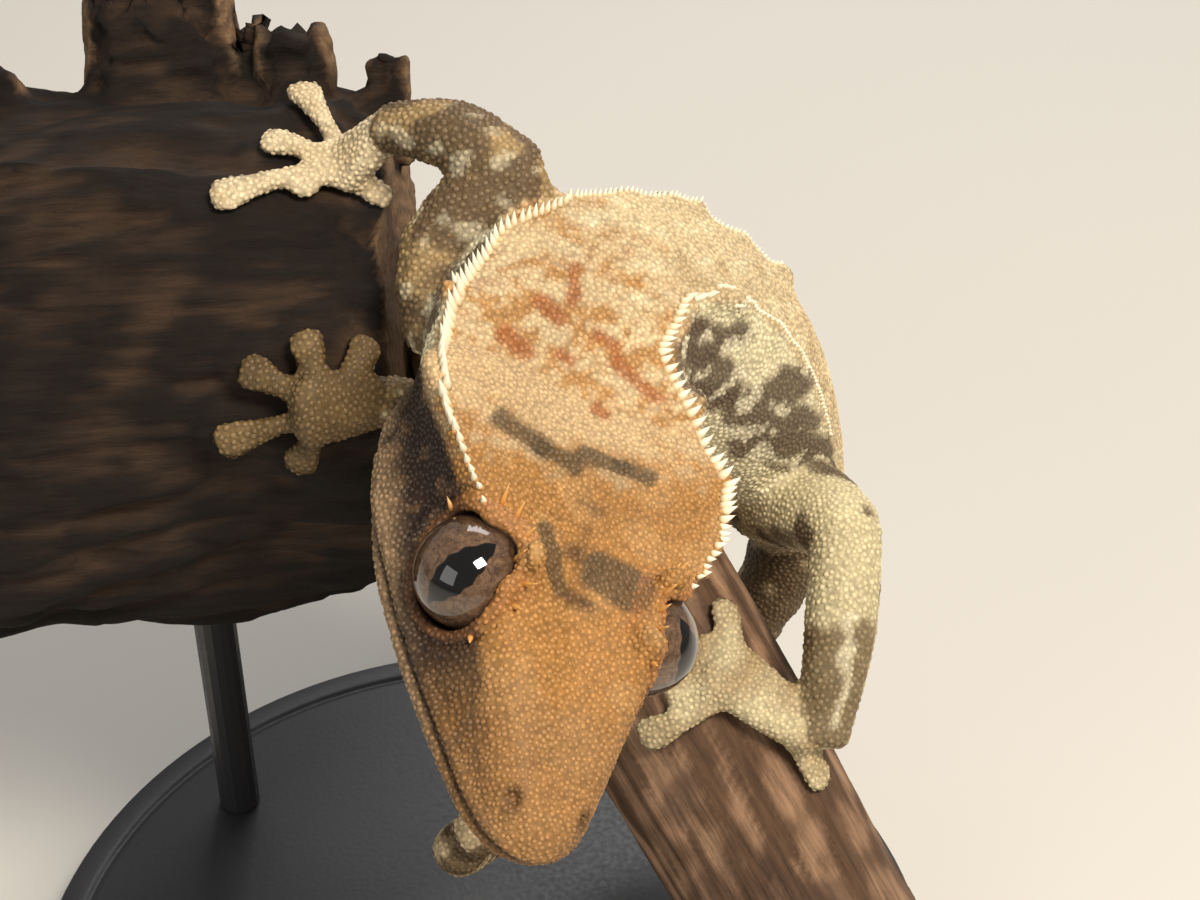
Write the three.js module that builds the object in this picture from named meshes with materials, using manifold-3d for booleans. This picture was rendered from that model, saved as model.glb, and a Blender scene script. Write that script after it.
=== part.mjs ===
import * as THREE from 'three';
import { mergeVertices } from 'three/addons/utils/BufferGeometryUtils.js';
import Module from 'manifold-3d';

const wasm = await Module();
wasm.setup();

// Driving sizes in mm. Places are given as right, up and near in the view from the front
// and above, and turned down by viewTilt to stand on the floor.
const viewTilt = 38 * Math.PI / 180;
const shiftX = 12;
const shiftY = -21;
const shiftZ = 89;
const gap = 0.3;

const headPlace = [-3.3, -11.5, 0];
const headForward = [-0.014, -0.78, 0.625];
const headLeft = [0.829, -0.358, -0.429];
const headUp = [0.559, 0.512, 0.652];
const eyeRadius = 4.3;
const eyeSide = 7.3;
const eyeHeight = 0.35;
const eyeForward = 0.2;
const eyeOpening = [0.25, 0.85, 0.42];
const lidDepth = 0.5;
const lidRimRadius = 0.5;
const nostril = [17.0, 3.0, 0.1];
const nostrilRadius = 0.62;
const earPlace = [-13.2, 12.9, -4.6];
const lipGap = 0.4;
const lipFront = -3.4;
const lipSlope = 0.115;

// head sections: forward, then pairs of side and height for top middle, crest, cheek,
// jaw, throat side and throat middle
const headSections = [
  [-18.0, 0, 2.7, 12.4, 2.9, 11.4, -1.8, 10.6, -5.4, 6.2, -8.2, 0, -8.8],
  [-15.0, 0, 2.9, 13.4, 3.3, 12.6, -2.0, 12.6, -6.0, 7.0, -9.2, 0, -9.8],
  [-10.0, 0, 3.1, 12.1, 4.0, 11.6, -1.5, 12.9, -6.2, 7.5, -9.6, 0, -10.2],
  [-4.0, 0, 3.1, 9.8, 4.7, 9.5, -1.0, 12.0, -6.4, 7.0, -9.4, 0, -10.0],
  [1.0, 0, 3.0, 8.0, 4.6, 8.8, -1.0, 10.6, -6.4, 6.5, -9.0, 0, -9.5],
  [6.0, 0, 2.5, 5.9, 3.1, 7.7, -1.4, 8.9, -6.0, 5.4, -8.2, 0, -8.7],
  [11.0, 0, 1.8, 4.4, 1.8, 6.1, -1.8, 6.9, -5.3, 4.2, -7.0, 0, -7.4],
  [15.5, 0, 1.1, 3.3, 0.7, 4.5, -1.8, 4.9, -4.5, 3.0, -5.8, 0, -6.1],
  [18.0, 0, 0.1, 2.2, -0.2, 3.0, -1.9, 3.2, -3.8, 1.9, -4.8, 0, -5.0],
  [19.4, 0, -1.4, 0.8, -1.6, 1.2, -2.3, 1.2, -3.0, 0.7, -3.5, 0, -3.6],
];

// spine stations: place, half width and half height of the section, then the side and
// height of the crest edge
const spine = [
  [-4.7, 0.1, -12.6, 10.8, 5.5, 12.6, 5.7],
  [-4.6, 7.4, -20.5, 10.4, 7.6, 9.2, 6.6],
  [-1.0, 12.0, -28.5, 10.4, 9.0, 5.8, 7.9],
  [5.8, 11.9, -38.5, 10.5, 9.6, 5.2, 8.6],
  [11.6, 7.2, -49.0, 10.6, 9.6, 4.9, 8.5],
  [16.6, -0.6, -60.0, 8.2, 7.8, 3.8, 6.9],
  [20.0, -8.0, -69.0, 4.5, 4.6, 2.4, 4.0],
  [16.0, -18.0, -75.0, 3.7, 3.8, 2.0, 3.3],
  [6.0, -27.0, -75.0, 3.3, 3.4, 1.8, 2.9],
  [-5.0, -34.0, -66.0, 3.0, 3.1, 1.6, 2.6],
  [-12.0, -37.5, -52.0, 2.7, 2.7, 1.4, 2.3],
  [-12.6, -36.3, -41.5, 2.4, 2.4, 1.3, 2.0],
  [-8.0, -32.0, -40.5, 2.2, 1.9, 1.2, 1.6],
  [-3.6, -28.0, -43.8, 1.9, 1.2, 1.0, 1.0],
];
const spineUp = [0.5, 0.56, 0.66];
const neckEnd = 0.9;
const chestEnd = 3.0;
const rumpEnd = 5.45;
const tailBaseEnd = 8.2;
const tailMiddleEnd = 11.0;

// limb stations: place, half width and half height
const rightUpperArm = [
  [-12.0, 9.5, -21.5, 4.2, 4.0],
  [-12.4, 16.4, -21.0, 4.3, 3.3],
  [-7.2, 22.9, -20.2, 3.3, 2.9],
];
const rightForearm = [
  [-7.2, 22.9, -20.2, 3.0, 2.8],
  [-12.2, 26.2, -22.0, 3.2, 2.6],
  [-18.0, 27.4, -25.6, 2.2, 1.9],
];
const leftUpperArm = [
  [1.6, 3.6, -22.6, 4.2, 4.0],
  [-1.6, 1.4, -26.4, 3.8, 3.4],
  [-5.0, -1.0, -28.6, 3.0, 2.8],
];
const leftForearm = [
  [-5.0, -1.0, -28.6, 2.9, 2.7],
  [-11.0, 1.6, -27.4, 3.2, 2.6],
  [-18.2, 4.2, -24.6, 2.3, 1.9],
];
const leftThigh = [
  [16.4, -4.0, -57.5, 5.0, 4.8],
  [20.0, -5.4, -51.0, 4.8, 4.2],
  [22.9, -7.4, -44.6, 3.5, 3.3],
];
const leftShin = [
  [22.9, -7.4, -44.6, 3.4, 3.2],
  [22.0, -16.5, -41.0, 3.3, 3.0],
  [20.2, -26.4, -39.4, 2.4, 2.1],
];
const rightThigh = [
  [14.0, 1.6, -63.0, 5.0, 4.8],
  [8.8, 3.6, -67.6, 4.6, 4.2],
  [2.6, 5.0, -70.0, 3.5, 3.3],
];
const rightShin = [
  [2.6, 5.0, -70.0, 3.4, 3.2],
  [0.2, -1.8, -69.0, 3.6, 3.1],
  [-2.6, -9.4, -65.0, 2.4, 2.1],
];
const palmLength = 4.0;
const palmWidth = 3.3;
const palmThick = 1.5;
const toeWidth = 0.85;
const padWidth = 1.8;
const toeThick = 0.75;

// palm middle, then the toe tips
const rightHand = { palm: [-21.8, 26.4, -26], wrist: [-18.0, 27.0, -25.6], tips: [
  [-31.8, 19.8, -28], [-28.4, 27.6, -28], [-26.6, 33.4, -34], [-25.4, 22.6, -26], [-19.2, 22.9, -26]] };
const leftHand = { palm: [-22.2, 4.2, -24], wrist: [-18.2, 4.2, -24.6], tips: [
  [-19.6, 8.8, -24], [-24.2, 9.2, -24], [-28.8, 7.0, -24], [-31.2, 1.2, -24], [-25.4, -1.6, -24]] };
const leftFoot = { palm: [13.8, -21.4, -38.5], wrist: [19.4, -26.0, -39.4], tips: [
  [4.6, -25.8, -40], [6.6, -21.4, -40], [9.4, -17.8, -39], [12.2, -14.0, -40], [19.6, -30.4, -42]] };
const rightFoot = { palm: [-0.6, -12.6, -62], wrist: [-2.4, -9.8, -64.4], tips: [
  [8.4, -12.2, -60], [8.6, -17.4, -60], [5.4, -21.4, -61], [0.8, -21.0, -61], [-4.4, -17.0, -57]] };

// crest cones: length, root radius and spacing along each row
const crestLength = 1.7;
const crestRadius = 0.5;
const crestStep = 1.25;
const crestSides = 5;
const lashLength = 1.3;

const logStart = [-62, 8, -48];
const logEnd = [-17.5, 11, -47];
const logRadius = 24;
const branchStart = [-13.5, 13.4, -50];
const branchEnd = [21.6, -48.2, -50];
const branchRadius = 11;
const baseRadius = 46;
const baseThick = 6;
const rodRadius = 2.2;
const rodLog = [-28, 22];
const rodLogTop = 48;
const rodBranch = [28, -5];
const rodBranchTop = 18;

const vec = (a) => new THREE.Vector3(a[0], a[1], a[2]);
const sinTilt = Math.sin(viewTilt);
const cosTilt = Math.cos(viewTilt);

function world(p) {
  const x = p.x + shiftX;
  const y = p.y * sinTilt - p.z * cosTilt + shiftY;
  const z = p.y * cosTilt + p.z * sinTilt + shiftZ;
  return new THREE.Vector3(x, y, z);
}

function seeded(start) {
  let state = start;
  return () => {
    state = (state * 1664525 + 1013904223) % 4294967296;
    return state / 4294967296;
  };
}

// A closed solid from any three.js geometry, turned outside out when needed
function solid(geometry) {
  const bare = geometry.index ? geometry.toNonIndexed() : geometry.clone();
  const only = new THREE.BufferGeometry();
  only.setAttribute('position', bare.attributes.position);
  const g = mergeVertices(only, 1e-5);
  const p = g.attributes.position;
  const index = [];
  let volume = 0;
  const a = new THREE.Vector3();
  const b = new THREE.Vector3();
  const c = new THREE.Vector3();
  for (let i = 0; i < g.index.count; i += 3) {
    const t = [g.index.getX(i), g.index.getX(i + 1), g.index.getX(i + 2)];
    if (t[0] === t[1] || t[1] === t[2] || t[0] === t[2]) continue;
    a.fromBufferAttribute(p, t[0]);
    b.fromBufferAttribute(p, t[1]);
    c.fromBufferAttribute(p, t[2]);
    volume += a.dot(b.clone().cross(c));
    index.push(t);
  }
  const turned = index.map((t) => (volume < 0 ? [t[0], t[2], t[1]] : t)).flat();
  return new wasm.Manifold(new wasm.Mesh({
    numProp: 3,
    vertProperties: new Float32Array(p.array),
    triVerts: new Uint32Array(turned),
  }));
}

// Maps the vertices of a cylinder: place(along 0..1, angle, radius 0..1) in view mm
function mapped(ring, rows, place) {
  const g = new THREE.CylinderGeometry(1, 1, 1, ring, rows);
  const p = g.attributes.position;
  for (let i = 0; i < p.count; i += 1) {
    const rho = Math.min(1, Math.hypot(p.getX(i), p.getZ(i)));
    const angle = Math.atan2(p.getX(i), p.getZ(i));
    const q = world(place(0.5 - p.getY(i), rho < 0.5 ? 0 : angle, rho < 0.5 ? 0 : 1));
    p.setXYZ(i, q.x, q.y, q.z);
  }
  return solid(g);
}

function track(stations, up) {
  const points = stations.map((s) => new THREE.Vector3(s[0], s[1], s[2]));
  const sizes = stations.map((s) => new THREE.Vector3(s[3], s[4], 0));
  const path = new THREE.CatmullRomCurve3(points, false, 'catmullrom', 0.5);
  const size = new THREE.CatmullRomCurve3(sizes, false, 'catmullrom', 0.4);
  const edges = stations.map((q) => new THREE.Vector3(q[5] || q[3] * 0.7, q[6] || q[4] * 0.7, 0));
  const edge = new THREE.CatmullRomCurve3(edges, false, 'catmullrom', 0.4);
  const last = stations.length - 1;
  return (s) => {
    const t = Math.min(1, Math.max(0, s / last));
    const at = path.getPoint(t);
    const tangent = path.getTangent(t);
    const wide = size.getPoint(t);
    const speed = path.getPoint(Math.min(1, t + 1e-3)).distanceTo(path.getPoint(Math.max(0, t - 1e-3)));
    const left = tangent.clone().cross(vec(up)).normalize().negate();
    const top = left.clone().cross(tangent).normalize().negate();
    if (top.dot(vec(up)) < 0) top.negate();
    return { at, tangent, left, top, wide, crest: edge.getPoint(t), speed: speed / 2e-3 / last };
  };
}


// The trunk's section: flat between the two crest edges, round below
function crestedPoint(f, angle) {
  const [a, b, e, h] = [f.wide.x, f.wide.y, f.crest.x, f.crest.y];
  const half = [[e, h], [a, 0], [a * 0.66, -b * 0.74]];
  const all = [[0, b], ...half, [0, -b], ...half.slice().reverse().map((q) => [-q[0], q[1]])];
  const curve = new THREE.CatmullRomCurve3(all.map((q) => new THREE.Vector3(q[0], q[1], 0)), true);
  return curve.getPoint(((angle / (2 * Math.PI)) % 1 + 1) % 1);
}

// A length of body or limb between two stations, its ends flat or domed
function length(frameAt, from, to, opt) {
  const { grow = 0, startDome = 0, endDome = 0, ring = 18, rows = 8, square = 2.2, domeRows = 3,
    crested = false } = opt;
  const before = startDome > 0 ? domeRows : 0;
  const after = endDome > 0 ? domeRows : 0;
  const total = before + rows + after;
  return mapped(ring, total, (v, angle, rho) => {
    const row = Math.round(v * total);
    let s = from + (to - from) * (row - before) / rows;
    let scale = 1;
    let push = 0;
    if (row < before) {
      const turn = row / before * Math.PI / 2;
      s = from;
      scale = Math.max(0.06, Math.sin(turn));
      push = -(startDome + grow) * Math.cos(turn);
    }
    if (row > before + rows) {
      const turn = (total - row) / after * Math.PI / 2;
      s = to;
      scale = Math.max(0.06, Math.sin(turn));
      push = (endDome + grow) * Math.cos(turn);
    }
    const f = frameAt(s);
    if (crested) {
      const e = crestedPoint(f, angle).multiplyScalar(scale * rho);
      const out = e.clone().normalize().multiplyScalar(grow * rho);
      return f.at.clone().addScaledVector(f.tangent, push)
        .addScaledVector(f.left, e.x + out.x).addScaledVector(f.top, e.y + out.y);
    }
    const c = Math.cos(angle);
    const n = Math.sin(angle);
    const side = Math.sign(c) * Math.abs(c) ** (2 / square) * (f.wide.x + grow) * scale * rho;
    const high = Math.sign(n) * Math.abs(n) ** (2 / square) * (f.wide.y + grow) * scale * rho;
    return f.at.clone().addScaledVector(f.tangent, push)
      .addScaledVector(f.left, side).addScaledVector(f.top, high);
  });
}

// Head, in its own forward, left and up directions
const forward = vec(headForward).normalize();
const leftward = vec(headLeft).normalize();
const upward = vec(headUp).normalize();

function inHead(x, y, z) {
  return vec(headPlace).addScaledVector(forward, x).addScaledVector(leftward, y)
    .addScaledVector(upward, z);
}

function headSection(s) {
  const low = Math.min(headSections.length - 2, Math.floor(s));
  const k = s - low;
  const pick = (i) => headSections[Math.min(headSections.length - 1, Math.max(0, i))];
  return headSections[0].map((unused, j) => {
    const [p0, p1, p2, p3] = [pick(low - 1)[j], pick(low)[j], pick(low + 1)[j], pick(low + 2)[j]];
    const m1 = (p2 - p0) / 2;
    const m2 = (p3 - p1) / 2;
    return (2 * k ** 3 - 3 * k ** 2 + 1) * p1 + (k ** 3 - 2 * k ** 2 + k) * m1
      + (-2 * k ** 3 + 3 * k ** 2) * p2 + (k ** 3 - k ** 2) * m2;
  });
}

function headShell(grow, ring = 30, rows = 23) {
  const last = headSections.length - 1;
  const curves = [];
  for (let i = 0; i <= rows; i += 1) {
    const q = headSection(i / rows * last);
    const half = [[q[1], q[2]], [q[3], q[4]], [q[5], q[6]], [q[7], q[8]], [q[9], q[10]], [q[11], q[12]]];
    const all = [...half, ...half.slice(1, 5).reverse().map((e) => [-e[0], e[1]])];
    const curve = new THREE.CatmullRomCurve3(all.map((e) => new THREE.Vector3(e[0], e[1], 0)), true);
    const middle = new THREE.Vector3(0, (q[2] + q[12]) / 2, 0);
    curves.push({ x: q[0] + grow * (2 * i / rows - 1), curve, middle });
  }
  return mapped(ring, rows, (v, angle, rho) => {
    const row = curves[Math.round(v * rows)];
    const turn = ((angle / (2 * Math.PI)) % 1 + 1) % 1;
    const e = rho ? row.curve.getPoint(turn) : row.middle.clone();
    const out = e.clone().sub(row.middle);
    const reach = out.length();
    if (rho && reach > 0) e.addScaledVector(out, grow / reach);
    return inHead(row.x, e.x, e.y);
  });
}

function ball(place, radius, squash = [1, 1, 1], columns = 16, rows = 12) {
  const g = new THREE.SphereGeometry(radius, columns, rows);
  const p = g.attributes.position;
  for (let i = 0; i < p.count; i += 1) {
    const q = world(inHead(place[0] + p.getX(i) * squash[0], place[1] + p.getY(i) * squash[1],
      place[2] + p.getZ(i) * squash[2]));
    p.setXYZ(i, q.x, q.y, q.z);
  }
  return solid(g);
}

// A cone standing on the skin: root in view mm, its lean, length and root radius
function cone(root, lean, tall, radius, sides = crestSides, sunk = 0.6) {
  const g = new THREE.ConeGeometry(radius, tall + sunk, sides);
  g.translate(0, (tall + sunk) / 2 - sunk, 0);
  g.applyQuaternion(new THREE.Quaternion().setFromUnitVectors(new THREE.Vector3(0, 1, 0),
    lean.clone().normalize()));
  const p = g.attributes.position;
  for (let i = 0; i < p.count; i += 1) {
    const q = world(new THREE.Vector3().fromBufferAttribute(p, i).add(root));
    p.setXYZ(i, q.x, q.y, q.z);
  }
  return solid(g);
}

function largest(body) {
  const parts = body.decompose();
  let best = parts[0];
  for (const part of parts) {
    if (part.volume() > best.volume()) best = part;
  }
  return best;
}

function joined(list) {
  return list.reduce((sum, item) => sum.add(item));
}

function cut(body, tools) {
  return tools.reduce((rest, tool) => rest.subtract(tool), body);
}

// Wood: a length with an uneven skin, and a way to lay a point on it
function timber(start, end, radiusAt) {
  const a = vec(start);
  const axis = vec(end).sub(a);
  const long = axis.length();
  axis.normalize();
  const side = axis.clone().cross(new THREE.Vector3(0, 0, 1)).normalize();
  const front = side.clone().cross(axis).normalize();
  const build = (grow, ring, rows) => mapped(ring, rows, (v, angle, rho) => {
    const r = rho * (radiusAt(v, angle) + grow);
    const along = v * (long + 2 * grow) - grow;
    return a.clone().addScaledVector(axis, along)
      .addScaledVector(side, r * Math.cos(angle)).addScaledVector(front, r * Math.sin(angle));
  });
  const lay = (p, above) => {
    const rel = p.clone().sub(a);
    const along = rel.dot(axis);
    const flat = rel.clone().addScaledVector(axis, -along);
    const angle = Math.atan2(flat.dot(front), flat.dot(side));
    const normal = flat.normalize();
    const r = radiusAt(Math.min(1, Math.max(0, along / long)), angle) + above;
    return { point: a.clone().addScaledVector(axis, along).addScaledVector(normal, r), normal };
  };
  return { build, lay };
}

const log = timber(logStart, logEnd, (v, angle) => logRadius * (1.1 - 0.1 * v)
  * (1 + 0.035 * Math.sin(3 * angle + 4 * v) + 0.03 * Math.sin(5 * angle - 7 * v))
  * (1 - 0.12 * Math.max(0, (v - 0.86) / 0.14) ** 2));
const branch = timber(branchStart, branchEnd, (v, angle) => branchRadius
  * (1 + 0.22 * Math.max(0, 1 - v * 4) ** 2 - 0.03 * v) * (1 + 0.03 * Math.sin(2 * angle + 5 * v)));

// broken stubs and knobs on top of the log: two places, then the two radii
const knots = [
  [[-39, 24, -47], [-41, 43, -43], 9.5, 7.0],
  [[-27, 28, -44], [-28.5, 38.5, -41], 5.5, 3.6],
  [[-21, 27, -45], [-19.5, 36.0, -43], 4.2, 2.4],
  [[-50, 22, -42], [-55, 33, -36], 6.0, 3.0],
];
const splinters = [[-45, 44, -44, 2.4, 7], [-41.5, 45, -47, 2.6, 9], [-38, 44, -41, 2.2, 6], [-36.5, 43, -46, 2.0, 8],
  [-43, 43.5, -39, 2.0, 5], [-33, 38, -44, 1.6, 5]];

function knot(item, grow) {
  const [from, to, wide, thin] = item;
  const frame = track([[...from, wide, wide], [...to, thin, thin]], [0, 0, 1]);
  return length(frame, 0, 1, { grow, ring: 12, rows: 4, endDome: 1.6 });
}

function logWood(grow) {
  const shards = splinters.map((q) => cone(vec(q), new THREE.Vector3(0.08 * (q[0] + 40), 1, 0.15),
    q[4] + grow, q[3] + grow, 6, 3));
  return joined([log.build(grow, 26, 12), ...knots.map((item) => knot(item, grow)), ...shards]);
}

function rod(place, bottom, top, radius) {
  const g = new THREE.CylinderGeometry(radius, radius, top - bottom, 16);
  g.rotateX(Math.PI / 2);
  g.translate(place[0], place[1], (top + bottom) / 2);
  return solid(g);
}

// Hands and feet: a palm and five toes that lie on the wood
function hand(spec, wood) {
  const palm = wood.lay(vec(spec.palm), gap + palmThick * 0.75);
  const toWrist = vec(spec.wrist).sub(palm.point);
  const palmTrack = track([
    [...palm.point.clone().addScaledVector(toWrist, 1).toArray(), 2.0, 1.7],
    [...palm.point.clone().addScaledVector(toWrist, 0.45).toArray(), palmWidth * 0.85, palmThick],
    [...palm.point.clone().addScaledVector(toWrist, -0.45).toArray(), palmWidth, palmThick],
  ], palm.normal.toArray());
  const body = [length(palmTrack, 0, 2, { ring: 12, rows: 3, startDome: 0.8, endDome: 1.4, domeRows: 2 })];
  for (const tip of spec.tips) {
    const end = wood.lay(vec(tip), gap + toeThick * 0.6);
    const root = palm.point.clone().lerp(end.point, 0.12);
    const mid = wood.lay(root.clone().lerp(end.point, 0.5), gap + toeThick * 1.1);
    const frame = track([
      [...root.toArray(), toeWidth * 1.15, toeThick],
      [...mid.point.toArray(), toeWidth, toeThick],
      [...end.point.clone().lerp(mid.point, 0.28).toArray(), padWidth * 0.95, toeThick],
      [...end.point.toArray(), padWidth, toeThick * 0.75],
    ], end.normal.toArray());
    body.push(length(frame, 0, 3, { ring: 7, rows: 4, startDome: 0.5, endDome: 1.1, domeRows: 2 }));
  }
  return joined(body);
}

// Body lengths
const spineAt = track(spine, spineUp);
const half = gap / 2;
const shift = (s, mm) => s + mm / spineAt(s).speed;
const spineCuts = [0, neckEnd, chestEnd, rumpEnd, tailBaseEnd, tailMiddleEnd, spine.length - 1];
const spineRows = [5, 9, 10, 9, 9, 9];
const spineRing = [26, 24, 24, 14, 12, 12];

function bodyLength(i, grow = 0) {
  const from = i === 0 ? 0 : shift(spineCuts[i], half);
  const isTip = i === spineRows.length - 1;
  const to = isTip ? spineCuts[i + 1] : shift(spineCuts[i + 1], -half);
  return length(spineAt, from, to, {
    grow, ring: spineRing[i], rows: spineRows[i], endDome: isTip ? 1.6 : 0, crested: i < 4,
  });
}

// Crest rows on the trunk, from the head's crest corner to the rump
const random = seeded(41);

function crestRow(side, from, to) {
  const cones = [];
  let s = from;
  while (s < to) {
    const f = spineAt(s);
    const fade = 1 - 0.75 * Math.max(0, (s - 1.6) / (to - 1.6));
    const out = f.left.clone().multiplyScalar(-side * f.crest.x * 0.75)
      .addScaledVector(f.top, f.crest.y).normalize();
    const root = f.at.clone().addScaledVector(f.left, -side * f.crest.x)
      .addScaledVector(f.top, f.crest.y);
    const tall = crestLength * fade * (0.85 + 0.3 * random());
    out.addScaledVector(f.tangent, -0.15 + 0.2 * random());
    const thick = crestRadius * (0.6 + 0.4 * fade);
    cones.push({ s, cone: cone(root, out, tall, thick), fat: cone(root, out, tall + 2 * gap, thick + gap) });
    s += (crestStep * (0.9 + 0.25 * random()) * (0.75 + 0.25 * fade)) / f.speed;
  }
  return cones;
}

function headCrest(side) {
  const cones = [];
  const line = new THREE.CatmullRomCurve3([
    inHead(-16.2, side * 12.4, 3.1), inHead(-14.9, side * 13.2, 3.3), inHead(-10, side * 12.1, 4.1),
    inHead(-4.4, side * 10.0, 4.7),
  ]);
  const middle = inHead(-8, 0, -3);
  const count = 11;
  for (let i = 0; i < count; i += 1) {
    const p = line.getPoint(i / (count - 1));
    const out = p.clone().sub(middle).normalize().addScaledVector(leftward, side * 0.5);
    const tall = crestLength * (0.95 - 0.6 * i / count) * (0.85 + 0.3 * random());
    cones.push(cone(p, out, tall, crestRadius * (1 - 0.3 * i / count)));
  }
  return cones;
}

// The eye opening's own directions in the head frame: out of the eye, up and forward along the lid
function opening(side) {
  const axis = new THREE.Vector3(eyeOpening[0], side * eyeOpening[1], eyeOpening[2]).normalize();
  const up = new THREE.Vector3(0, 0, 1).addScaledVector(axis, -axis.z).normalize();
  const ahead = axis.clone().cross(up).multiplyScalar(side);
  const centre = new THREE.Vector3(eyeForward, side * eyeSide, eyeHeight);
  return { axis, up, ahead, centre };
}

function turnedOut(g, side, from, depth) {
  const { axis, centre } = opening(side);
  g.applyQuaternion(new THREE.Quaternion().setFromUnitVectors(from, axis));
  g.translate(...centre.addScaledVector(axis, depth).toArray());
  const p = g.attributes.position;
  for (let i = 0; i < p.count; i += 1) {
    const q = world(inHead(p.getX(i), p.getY(i), p.getZ(i)));
    p.setXYZ(i, q.x, q.y, q.z);
  }
  return solid(g);
}

function lidRim(side) {
  const g = new THREE.TorusGeometry(eyeRadius + gap + 0.15, lidRimRadius, 6, 20);
  return turnedOut(g, side, new THREE.Vector3(0, 0, 1), lidDepth);
}

function lidCut(side) {
  const g = new THREE.CylinderGeometry(eyeRadius, eyeRadius - 0.3, 8, 14);
  return turnedOut(g, side, new THREE.Vector3(0, 1, 0), 4);
}

function lashes(side) {
  const cones = [];
  const count = 6;
  const { axis, up, ahead, centre } = opening(side);
  const inView = (v) => vec([0, 0, 0]).addScaledVector(forward, v.x).addScaledVector(leftward, v.y)
    .addScaledVector(upward, v.z);
  for (let i = 0; i < count; i += 1) {
    const turn = (20 + 28 * i) * Math.PI / 180;
    const around = ahead.clone().multiplyScalar(Math.cos(turn)).addScaledVector(up, Math.sin(turn));
    const p = centre.clone().addScaledVector(axis, lidDepth + 0.25)
      .addScaledVector(around, eyeRadius + gap + 0.35);
    const out = inView(around.clone().addScaledVector(axis, 0.6));
    cones.push(cone(inHead(p.x, p.y, p.z), out, lashLength * (0.8 + 0.4 * random()), 0.36));
  }
  return cones;
}

function lipGroove() {
  const g = new THREE.BoxGeometry(32, 40, lipGap, 1, 1, 1);
  const p = g.attributes.position;
  for (let i = 0; i < p.count; i += 1) {
    const x = 7.2 + p.getX(i);
    const z = lipFront - lipSlope * (19.4 - x) + p.getZ(i);
    const q = world(inHead(x, p.getY(i), z));
    p.setXYZ(i, q.x, q.y, q.z);
  }
  return solid(g).subtract(headShell(-0.75));
}

function buildHead() {
  let head = headShell(0);
  for (const side of [1, -1]) head = head.subtract(lidCut(side)).add(lidRim(side));
  for (const side of [1, -1]) head = joined([head, ...headCrest(side), ...lashes(side)]);
  head = head.subtract(lipGroove());
  for (const side of [1, -1]) {
    head = head.subtract(ball([eyeForward, side * eyeSide, eyeHeight], eyeRadius + gap, [1, 1, 1], 16, 11));
    head = head.subtract(ball([nostril[0], side * nostril[1], nostril[2]], nostrilRadius, [1.2, 1, 1], 8, 6));
    head = head.subtract(ball([earPlace[0], side * earPlace[1], earPlace[2]], 1, [0.6, 1.1, 1.6], 10, 8));
  }
  return largest(head);
}

const crests = [...crestRow(1, 0.42, 4.6), ...crestRow(-1, 0.42, 4.6)];
const fatBody = joined([headShell(gap, 24, 18),
  length(spineAt, 0, 6.6, { grow: gap, ring: 26, rows: 30, crested: true }),
  ...crests.map((c) => c.fat)]);

function trunkPiece(i) {
  const from = spineCuts[i];
  const to = spineCuts[i + 1];
  const edge = 1.35 / spineAt(from).speed;
  const own = crests.filter((c) => c.s > from + edge && c.s < to - edge).map((c) => c.cone);
  return own.length ? joined([bodyLength(i), ...own]) : bodyLength(i);
}

function limb(stations, up, opt, tools) {
  return cut(length(track(stations, up), 0, 2, { ring: 14, rows: 6, ...opt }), tools);
}

function limbFat(stations, up, opt) {
  return length(track(stations, up), 0, 2, { ring: 14, rows: 6, grow: gap, ...opt });
}

const domes = { startDome: 2.2, endDome: 2.4 };
const lower = { startDome: 2.6, endDome: 0.6 };
const logFat = logWood(gap);
const branchFat = branch.build(gap, 24, 12);
const woodFat = logFat.add(branchFat);

function limbSet(upper, fore, spec, wood, up) {
  const upperFat = limbFat(upper, up, domes);
  const foreFat = limbFat(fore, up, lower);
  const top = limb(upper, up, domes, [fatBody, woodFat]);
  const bottom = limb(fore, up, lower, [upperFat, fatBody, woodFat]);
  const end = cut(hand(spec, wood), [foreFat, upperFat, woodFat]);
  return [largest(top), largest(bottom), largest(end)];
}

const colours = {
  orange: new THREE.MeshStandardMaterial({ color: 0xb9813f, roughness: 0.7, metalness: 0 }),
  cream: new THREE.MeshStandardMaterial({ color: 0xd9c79a, roughness: 0.7, metalness: 0 }),
  brown: new THREE.MeshStandardMaterial({ color: 0x7d6a4c, roughness: 0.7, metalness: 0 }),
  eye: new THREE.MeshStandardMaterial({ color: 0x6b5149, roughness: 0.15, metalness: 0 }),
  darkWood: new THREE.MeshStandardMaterial({ color: 0x4f3627, roughness: 0.85, metalness: 0 }),
  paleWood: new THREE.MeshStandardMaterial({ color: 0x7c5a41, roughness: 0.8, metalness: 0 }),
  stand: new THREE.MeshStandardMaterial({ color: 0x2b2b2d, roughness: 0.45, metalness: 0 }),
};

const group = new THREE.Group();

function addNode(name, body, material, coarse = 0.05) {
  const made = largest(body.simplify(coarse)).getMesh();
  const g = new THREE.BufferGeometry();
  const points = new Float32Array(made.numVert * 3);
  for (let i = 0; i < made.numVert; i += 1) {
    for (let j = 0; j < 3; j += 1) points[i * 3 + j] = made.vertProperties[i * made.numProp + j];
  }
  g.setAttribute('position', new THREE.BufferAttribute(points, 3));
  g.setIndex(new THREE.BufferAttribute(new Uint32Array(made.triVerts), 1));
  g.computeVertexNormals();
  const mesh = new THREE.Mesh(g, material);
  mesh.name = name;
  group.add(mesh);
}

addNode('head', buildHead(), colours.orange);
addNode('eye_left', ball([eyeForward, eyeSide, eyeHeight], eyeRadius, [1, 1, 1], 14, 9), colours.eye);
addNode('eye_right', ball([eyeForward, -eyeSide, eyeHeight], eyeRadius, [1, 1, 1], 14, 9), colours.eye);

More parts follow.
